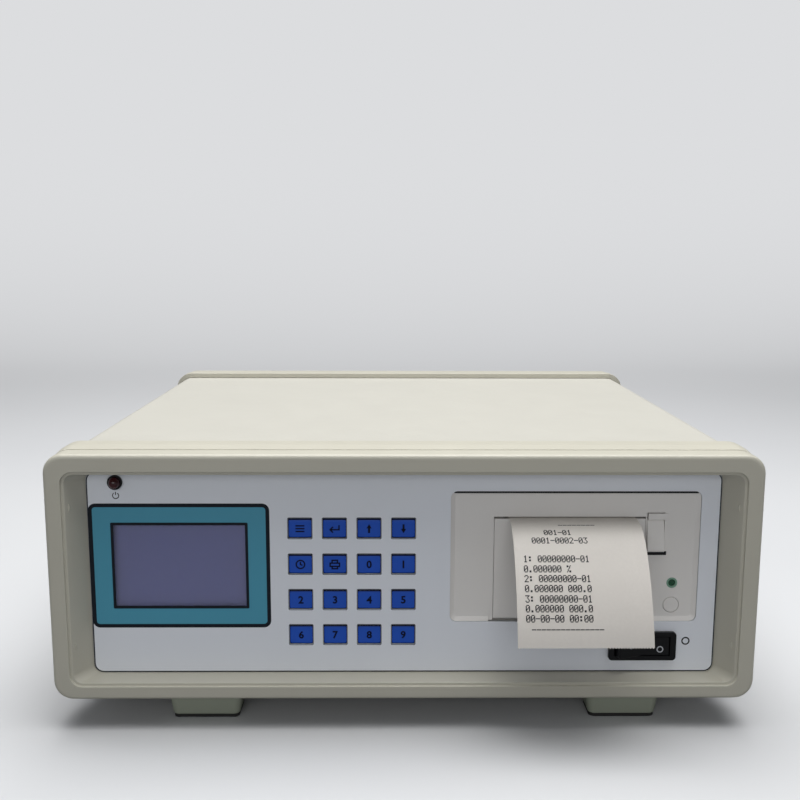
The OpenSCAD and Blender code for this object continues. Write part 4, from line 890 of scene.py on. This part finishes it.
# Each row: its middle's distance from the torn edge, its start from the left edge, its figures.
receipt_rows = [
    (55.4, 20.6, "--------"), (50.5, 13.6, "001-01"), (46.1, 7.9, "0001-0002-03"),
    (37.5, 3.7, "1: 00000000-01"), (33.1, 3.6, "0.000000 %"), (28.9, 3.6, "2: 00000000-01"),
    (24.7, 3.6, "0.000000 000.0"), (20.4, 3.6, "3: 00000000-01"), (16.4, 3.6, "0.000000 000.0"),
    (12.3, 3.6, "00-00-00 00:00"), (7.8, 5.9, "---------------")]
# Thermal print: the coating turned blue-black by heat, flat on the paper.
thermal_black = moulded("thermal_print_black", "#15141A", grain=0.3, depth=0.002, rough=0.6, cloud=0.15)

shape = bmesh.new()
for middle, start, figures in receipt_rows:
    for column, figure in enumerate(figures):
        left = paper_x0 + start + column * figure_dots * dot
        for line, pattern in enumerate(dots[figure].split() if figure in dots else ()):
            along = paper_l - middle + (line - 3.5) * dot_h
            first = 0
            for black in pattern.split("0"):
                near, far = left + first * dot, left + (first + len(black)) * dot + bleed
                corners = [(near, along), (far, along), (far, along + dot_h), (near, along + dot_h)]
                first += len(black) + 1
                if black:
                    loft(shape, [[on_paper(x, s, paper_t / 2 + lift) for x, s in corners]
                                 for lift in (-print_sunk, print_t)])
receipt_print = piece("receipt_print", shape, None, "paper", thermal_black)

# The sheet and its print ride on no body: their places are baked into their meshes.
for sheet in (receipt_print, strip):
    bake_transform(sheet)

# Paper on the roll: its ends show the wound layers as fine rings. They are drawn 1 mm apart,
# because a layer of 0.06 mm is too fine to show.
rolled_paper, tree, place = finish("thermal_paper_rolled", {"IOR": 1.5, "Roughness": 0.65})
centred = add(tree, "ShaderNodeMapping", {
    0: place, 1: (0, -roll_at.x / 1000, -roll_at.y / 1000), 3: (0, 1, 1)})
layers = add(tree, "ShaderNodeTexWave", {"Vector": centred, "Scale": 320, "Distortion": 1.5},
             wave_type="RINGS", rings_direction="X")
tone = add(tree, "ShaderNodeMix", {0: layers, 6: colour("#CFC9BF"), 7: colour("#EFEAE2")}, data_type="RGBA")
feed(tree, "Base Color", tone.outputs[2])
bump = add(tree, "ShaderNodeBump", {"Height": layers, "Distance": 1e-5})
feed(tree, "Normal", bump)
dress("paper_roll", rolled_paper, ease=0.1)


# ---- Power switch ----
# A black rocker switch, moulded in polyamide and snapped into the panel. The right half is down,
# and carries a ring; the left half carries a bar.

# Polyamide of switches: black, glossier than ABS, with a slight orange-peel skin.
switch_nylon = moulded("polyamide_black_gloss", "#08090D", grain=0.8, depth=0.01, rough=0.36, cloud=0.1,
                       shine=0.25)
dress("switch_body", switch_nylon, ease=0.35)
dress("switch_rocker", switch_nylon, ease=0.3)
# Pad-printed ink: white, thin and satin, greyed a little by the black under it.
white_ink = moulded("pad_print_white", "#C9CCD2", grain=0.3, depth=0.004, rough=0.5, cloud=0.1)

switch_x, switch_z = middle_mm("switch_body")[0], middle_mm("switch_rocker")[2]
pivot_d, rocker_base, rocker_tilt = 0.6, 2.2, math.radians(10)
pivot = Vector((switch_x, rim_y + recess + pivot_d))


def on_rocker(middle, lean):
    """Places a mark on one half of the rocker, which leans back by lean from the centre line."""
    crest = pivot + Vector((rocker_base * math.sin(rocker_tilt), -rocker_base * math.cos(rocker_tilt)))
    way = Vector((math.cos(lean), math.sin(lean)))
    out = Vector((way.y, -way.x))

    def spot(across, height, depth):
        at = crest + way * (middle + across) + out * depth
        return at.x, at.y, switch_z + height
    return spot


mark_line, mark_r, ring_at, ring_drop, bar_at = 0.45, 1.3, 7.7, 1.4, -6.4
shape = bmesh.new()
stroke(shape, [(x, z - ring_drop) for x, z in circle(mark_r)], mark_line, on_rocker(ring_at, 0), closed=True)
stroke(shape, [(0, -0.4), (0, 1.6)], mark_line, on_rocker(bar_at, 2 * rocker_tilt))
piece("rocker_marks", shape, "rocker", "switch_black", white_ink)
beside, above, sign_r, sign_line = 4.7, 2.0, 1.6, 0.6
sign_spot = facing_front(box_mm("switch_body")[1].x + beside, film_y, switch_z + above)
shape = bmesh.new()
stroke(shape, circle(sign_r), sign_line, sign_spot, closed=True)
piece("switch_sign", shape, "case", "panel_film", black_ink)


# ---- Rear panel ----
# A powder-coated steel plate. It carries a mains inlet with its fuse drawer, three bayonet sockets
# for electrodes, and a nine-way serial port between two standoffs.

# Powder coat: pale grey, with orange-peel ripples about a millimetre wide.
powder_coat = moulded("powder_coat_pale_grey", "#C6C7C0", grain=1.2, depth=0.05, rough=0.42, cloud=0.03)
dress("rear_panel", powder_coat, ease=0)
dress("mains_inlet", switch_nylon, ease=0.4)
dress("fuse_drawer", black_abs, ease=0.25)
# Nickel plate: bright and faintly yellow, over turned brass. Tin plate: greyer and satin.
nickel = metal("nickel_plate_bright", "#C8C3B8", 0.2, 0.6)
dress("inlet_pins", nickel, ease=0.4)
dress("electrode_sockets", nickel, ease=0.2)
dress("socket_insulators", acetal, ease=0.1)
dress("serial_port", metal("tin_plate_satin", "#B8B9B6", 0.36, 1.0), ease=0.25)


def standing(tree, points, form, **more):
    """Stands a form on each of the points, along the point's own way. Returns all of them."""
    way = add(tree, "GeometryNodeInputNamedAttribute", {"Name": "way"}, data_type="FLOAT_VECTOR")
    turn = add(tree, "FunctionNodeAlignRotationToVector", {"Vector": way}, axis="Z")
    return add(tree, "GeometryNodeInstanceOnPoints", {
        "Points": points, "Instance": form, "Rotation": turn, **more})


def made_real(tree, geometry, finish_socket):
    """Ends a tree: what it grew as one plain geometry, in the finish that its input names."""
    real = add(tree, "GeometryNodeRealizeInstances", {0: geometry})
    made = add(tree, "GeometryNodeSetMaterial", {0: real, "Material": finish_socket})
    add(tree, "NodeGroupOutput", {0: made})


def rods_tree():
    """Geometry Nodes that stand a rod on each point, along the point's own direction."""
    tree, start = geometry_tree("rods_on_points", [
        ("Radius", "Float"), ("Length", "Float"), ("Sides", "Int"), ("Finish", "Material")])
    bar = add(tree, "GeometryNodeMeshCylinder", {
        "Vertices": start["Sides"], "Radius": start["Radius"], "Depth": start["Length"]})
    half = add(tree, "ShaderNodeMath", {0: start["Length"], 1: 0.5}, operation="MULTIPLY")
    lift = add(tree, "ShaderNodeCombineXYZ", {2: half})
    raised = add(tree, "GeometryNodeTransform", {0: bar, "Translation": lift})
    made_real(tree, standing(tree, start["Geometry"], raised), start["Finish"])
    return tree


def grown(name, spots, tree, inputs, body, ease=0.0):
    """A piece that a tree grows on spots, each a point in mm, a direction and, if it has one, a
    length in mm. inputs are the tree's own, by name, with lengths in metres."""
    mesh = bpy.data.meshes.new(name)
    mesh.from_pydata([Vector(s[0]) / 1000 for s in spots], [], [])
    mesh.attributes.new("way", "FLOAT_VECTOR", "POINT").data.foreach_set(
        "vector", [v for s in spots for v in s[1]])
    if len(spots[0]) > 2:
        mesh.attributes.new("length", "FLOAT", "POINT").data.foreach_set(
            "value", [s[2] / 1000 for s in spots])
    seed = bpy.data.objects.new(name + "_spots", mesh)
    bpy.context.scene.collection.objects.link(seed)
    growth = seed.modifiers.new("grow", "NODES")
    growth.node_group = tree
    for item in tree.interface.items_tree:
        if item.in_out == "INPUT" and item.name in inputs:
            growth[item.identifier] = inputs[item.name]
    bpy.context.view_layer.update()
    grown_mesh = bpy.data.meshes.new_from_object(seed.evaluated_get(bpy.context.evaluated_depsgraph_get()))
    grown_mesh.name = name
    bpy.data.objects.remove(seed)
    grown_mesh.polygons.foreach_set("use_smooth", [True] * len(grown_mesh.polygons))
    grown_mesh.set_sharp_from_angle(angle=math.radians(40))
    obj = bpy.data.objects.new(name, grown_mesh)
    bpy.context.scene.collection.objects.link(obj)
    if ease:
        soft = obj.modifiers.new("eased_edges", "BEVEL")
        soft.width = ease / 1000
        soft.segments = 2
    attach(obj, body)
    return obj


rods = rods_tree()
rear_y = case_high.y - plate_y
up_way, down_way, front_way, back_way = (0, 0, 1), (0, 0, -1), (0, -1, 0), (0, 1, 0)
port_x, _, port_z = middle_mm("serial_port")
contact_pitch, contact_row, contact_back = 2.77, 1.42, 1.4
contacts = [((port_x + (i - (count - 1) / 2) * contact_pitch, rear_y + contact_back, port_z + z), back_way)
            for count, z in ((4, -contact_row), (5, contact_row)) for i in range(count)]
# Gold flash: a thin warm film over nickel, bright.
grown("serial_contacts", contacts, rods, {
    "Radius": 0.0005, "Length": 0.0035, "Sides": 12,
    "Finish": metal("gold_flash_contact", "#D9B25A", 0.25, 0.3)}, "case", ease=0.15)
standoff_x, standoff_back = 12.5, 0.8
standoffs = [((port_x + sx * standoff_x, rear_y + standoff_back, port_z), back_way) for sx in (-1, 1)]
grown("serial_standoffs", standoffs, rods, {
    "Radius": 0.0026, "Length": 0.0045, "Sides": 6, "Finish": nickel}, "case", ease=0.2)
socket_x, _, socket_z = middle_mm("electrode_sockets")
socket_pitch, lug_in = 26, 3.2
lug_y = box_mm("electrode_sockets")[1].y - lug_in
lugs = [((socket_x + i * socket_pitch, lug_y, socket_z), way)
        for i in (-1, 0, 1) for way in (down_way, up_way)]
grown("bayonet_lugs", lugs, rods, {
    "Radius": 0.00095, "Length": 0.0058, "Sides": 16, "Finish": nickel}, "case", ease=0.2)


# ---- Screws ----
# Pan-headed screws of 2.8 mm with a cross recess, nickel-plated: in the covers' pillars, the
# frames' posts, the feet, the inlet and the boards.

def screws_tree():
    """Geometry Nodes that drive a screw at each point: its seat there, its shank along the way."""
    tree, start = geometry_tree("screws_on_points", [
        ("Head Radius", "Float"), ("Head Height", "Float"), ("Shank Radius", "Float"),
        ("Recess Width", "Float"), ("Finish", "Material")])
    # The head: a ball made flatter, cut off below its seat, with two bars cut from its top.
    ball = add(tree, "GeometryNodeMeshUVSphere", {
        "Segments": 32, "Rings": 16, "Radius": start["Head Radius"]})
    flatter = add(tree, "ShaderNodeMath", {
        0: start["Head Height"], 1: start["Head Radius"]}, operation="DIVIDE")
    squat = add(tree, "ShaderNodeCombineXYZ", {0: 1.0, 1: 1.0, 2: flatter})
    dome = add(tree, "GeometryNodeTransform", {0: ball, "Scale": squat})
    bulk = add(tree, "ShaderNodeMath", {0: start["Head Radius"], 1: 3.0}, operation="MULTIPLY")
    cut = add(tree, "GeometryNodeMeshCube", {"Size": add(tree, "ShaderNodeCombineXYZ", {
        0: bulk, 1: bulk, 2: bulk})})
    down = add(tree, "ShaderNodeMath", {0: bulk, 1: 0.5}, operation="MULTIPLY")
    below = add(tree, "GeometryNodeTransform", {0: cut, "Translation": add(
        tree, "ShaderNodeCombineXYZ", {2: down})})
    arm = add(tree, "ShaderNodeMath", {0: start["Head Radius"], 1: 1.15}, operation="MULTIPLY")
    deep = add(tree, "ShaderNodeMath", {0: start["Head Height"], 1: 1.1}, operation="MULTIPLY")
    high = add(tree, "ShaderNodeMath", {0: start["Head Height"], 1: -1.0}, operation="MULTIPLY")
    bars = []
    for long_axis in (0, 1):
        size = add(tree, "ShaderNodeCombineXYZ", {
            long_axis: arm, 1 - long_axis: start["Recess Width"], 2: deep})
        bar = add(tree, "GeometryNodeMeshCube", {"Size": size})
        bars.append(add(tree, "GeometryNodeTransform", {0: bar, "Translation": add(
            tree, "ShaderNodeCombineXYZ", {2: high})}))
    head = dome
    for tool in (below, *bars):
        carved = add(tree, "GeometryNodeMeshBoolean", {"Mesh 1": head}, operation="DIFFERENCE")
        link(tree, tool, carved.inputs["Mesh 2"])
        head = carved
    # The shank: a bar of unit length on its seat, stretched to each point's own length.
    shank = add(tree, "GeometryNodeMeshCylinder", {
        "Vertices": 16, "Radius": start["Shank Radius"], "Depth": 1.0})
    shank = add(tree, "GeometryNodeTransform", {0: shank, "Translation": (0, 0, 0.5)})
    length = add(tree, "GeometryNodeInputNamedAttribute", {"Name": "length"}, data_type="FLOAT")
    stretch = add(tree, "ShaderNodeCombineXYZ", {0: 1.0, 1: 1.0, 2: length})
    both = add(tree, "GeometryNodeJoinGeometry", {0: standing(tree, start["Geometry"], head)})
    link(tree, standing(tree, start["Geometry"], shank, Scale=stretch), both.inputs[0])
    made_real(tree, both, start["Finish"])
    return tree


long_screw, short_screw = 9, 6
# The covers' pillars, the frames' posts, the inlet's ears and the feet's wells.
pillar_x, pillar_ys, pillar_drop = 146.5, (36, 258), 4
spots = [((sx * pillar_x, case_low.y + y, mid_z - pillar_drop), up_way, long_screw)
         for sx in (-1, 1) for y in pillar_ys]
panel_back = plate_y + 2
spots += [((sx * post_x, y, mid_z + sz * post_z), way, long_screw) for sx in (-1, 1) for sz in (-1, 1)
          for y, way in ((case_low.y + panel_back, front_way), (case_high.y - panel_back, back_way))]
ear_x, ear_t = 20, 3
inlet_x, _, inlet_z = middle_mm("mains_inlet")
spots += [((inlet_x + sx * ear_x, rear_y + ear_t, inlet_z), front_way, long_screw) for sx in (-1, 1)]
spots += [((sx * boss_x + boss_shift, y, foot_h - well_d), up_way, long_screw) for sx in (-1, 1)
          for y in (case_low.y + boss_y, case_high.y - boss_y)]
# The corners of the two boards: each board's thickness, and how far in its screws are.
for node, board_t, in_x, in_y in (("main_board", 1.6, 6, 6), ("power_supply", 1.5, 8, 5)):
    low, high = box_mm(node)
    spots += [((x, y, low.z + board_t), down_way, short_screw)
              for x in (low.x + in_x, high.x - in_x) for y in (low.y + in_y, high.y - in_y)]
screws = grown("cross_recess_screws", spots, screws_tree(), {
    "Head Radius": 0.0028, "Head Height": 0.0019, "Shank Radius": 0.0014, "Recess Width": 0.0007,
    "Finish": nickel}, "case")
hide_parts("screws")


# ---- Boards inside ----
# The main board, of epoxy laminate, and a power supply in a pressed steel cage. Both are screwed
# to posts in the bottom cover.

dress("main_board", circuit_board, ease=0.3)
dress("power_supply", pressed_steel, ease=0.4)


# ---- Floor and light ----
# A pale paper sheet that curves up behind, matt and faintly mottled. A wide soft lamp hangs over
# the case, and a weak one stands in front.

paper_backdrop, tree, place = finish("backdrop_paper_pale", {"Roughness": 0.9, "Specular IOR Level": 0.2})
mottle = add(tree, "ShaderNodeTexNoise", {"Vector": place, "Scale": 3, "Detail": 2})
tone = add(tree, "ShaderNodeMix", {0: mottle, 6: colour("#C9CACC"), 7: colour("#CFD0D1")}, data_type="RGBA")
# It throws little light back at the object, as a dark bench does. Its upright part glows for camera
# rays, so the camera sees it as pale as the floor.
seen = add(tree, "ShaderNodeLightPath").outputs["Is Camera Ray"]
thrown = add(tree, "ShaderNodeMix", {0: seen, 6: colour("#7C7D7F"), 7: tone.outputs[2]}, data_type="RGBA")
feed(tree, "Base Color", thrown.outputs[2])
depth = add(tree, "ShaderNodeSeparateXYZ", {0: place}).outputs[1]
rise = add(tree, "ShaderNodeMapRange", {0: depth, 1: 0.3, 2: 2.0}, interpolation_type="SMOOTHSTEP")
share = add(tree, "ShaderNodeMath", {0: rise, 1: seen}, operation="MULTIPLY")
glow = add(tree, "ShaderNodeEmission", {0: colour("#DCDDDF")})
both = add(tree, "ShaderNodeMixShader", {0: share})
link(tree, tree.nodes["Principled BSDF"], both.inputs[1])
link(tree, glow, both.inputs[2])
link(tree, both, tree.nodes["Material Output"].inputs[0])
near_y, far_y, half_w, sweep_r, sheet_top = -3000, 1200, 4000, 900, 4200
turns = [math.radians(d) for d in range(6, 91, 6)]
sweep = [(near_y, 0), (far_y, 0),
         *((far_y + sweep_r * math.sin(a), sweep_r - sweep_r * math.cos(a)) for a in turns),
         (far_y + sweep_r, sheet_top)]
shape = bmesh.new()
rows = [[shape.verts.new((x, y, z)) for x in (-half_w, half_w)] for y, z in sweep]
for a, b in zip(rows, rows[1:]):
    shape.faces.new((a[0], a[1], b[1], b[0]))
backdrop_mesh = bpy.data.meshes.new("backdrop")
shape.to_mesh(backdrop_mesh)
shape.free()
backdrop_mesh.transform(Matrix.Scale(0.001, 4))
backdrop_mesh.materials.append(paper_backdrop)
backdrop_mesh.polygons.foreach_set("use_smooth", [True] * len(backdrop_mesh.polygons))
backdrop = bpy.data.objects.new("backdrop", backdrop_mesh)
bpy.context.scene.collection.objects.link(backdrop)

# Each lamp: its place, what it aims at and its size, in metres, and its power in watts.
for name, spot, aim, size, power in (
        ("overhead_lamp", (0.05, 0.05, 1.35), (0, 0, 0.1), (1.5, 1.1), 28.9),
        ("front_lamp", (-0.15, -1.4, 0.5), (0, -0.15, 0.07), (1.2, 0.5), 3.0)):
    lamp = bpy.data.lights.new(name, "AREA")
    lamp.shape = "RECTANGLE"
    lamp.size, lamp.size_y = size
    lamp.energy = power
    holder = bpy.data.objects.new(name, lamp)
    holder.location = spot
    holder.rotation_euler = (Vector(aim) - Vector(spot)).to_track_quat("-Z", "Y").to_euler()
    bpy.context.scene.collection.objects.link(holder)

world = bpy.data.worlds.new("studio")
world.use_nodes = True
world.node_tree.nodes["Background"].inputs["Color"].default_value = colour("#E6E9EE")
world.node_tree.nodes["Background"].inputs["Strength"].default_value = 0.27
bpy.context.scene.world = world
bpy.context.scene.view_settings.view_transform = "Standard"
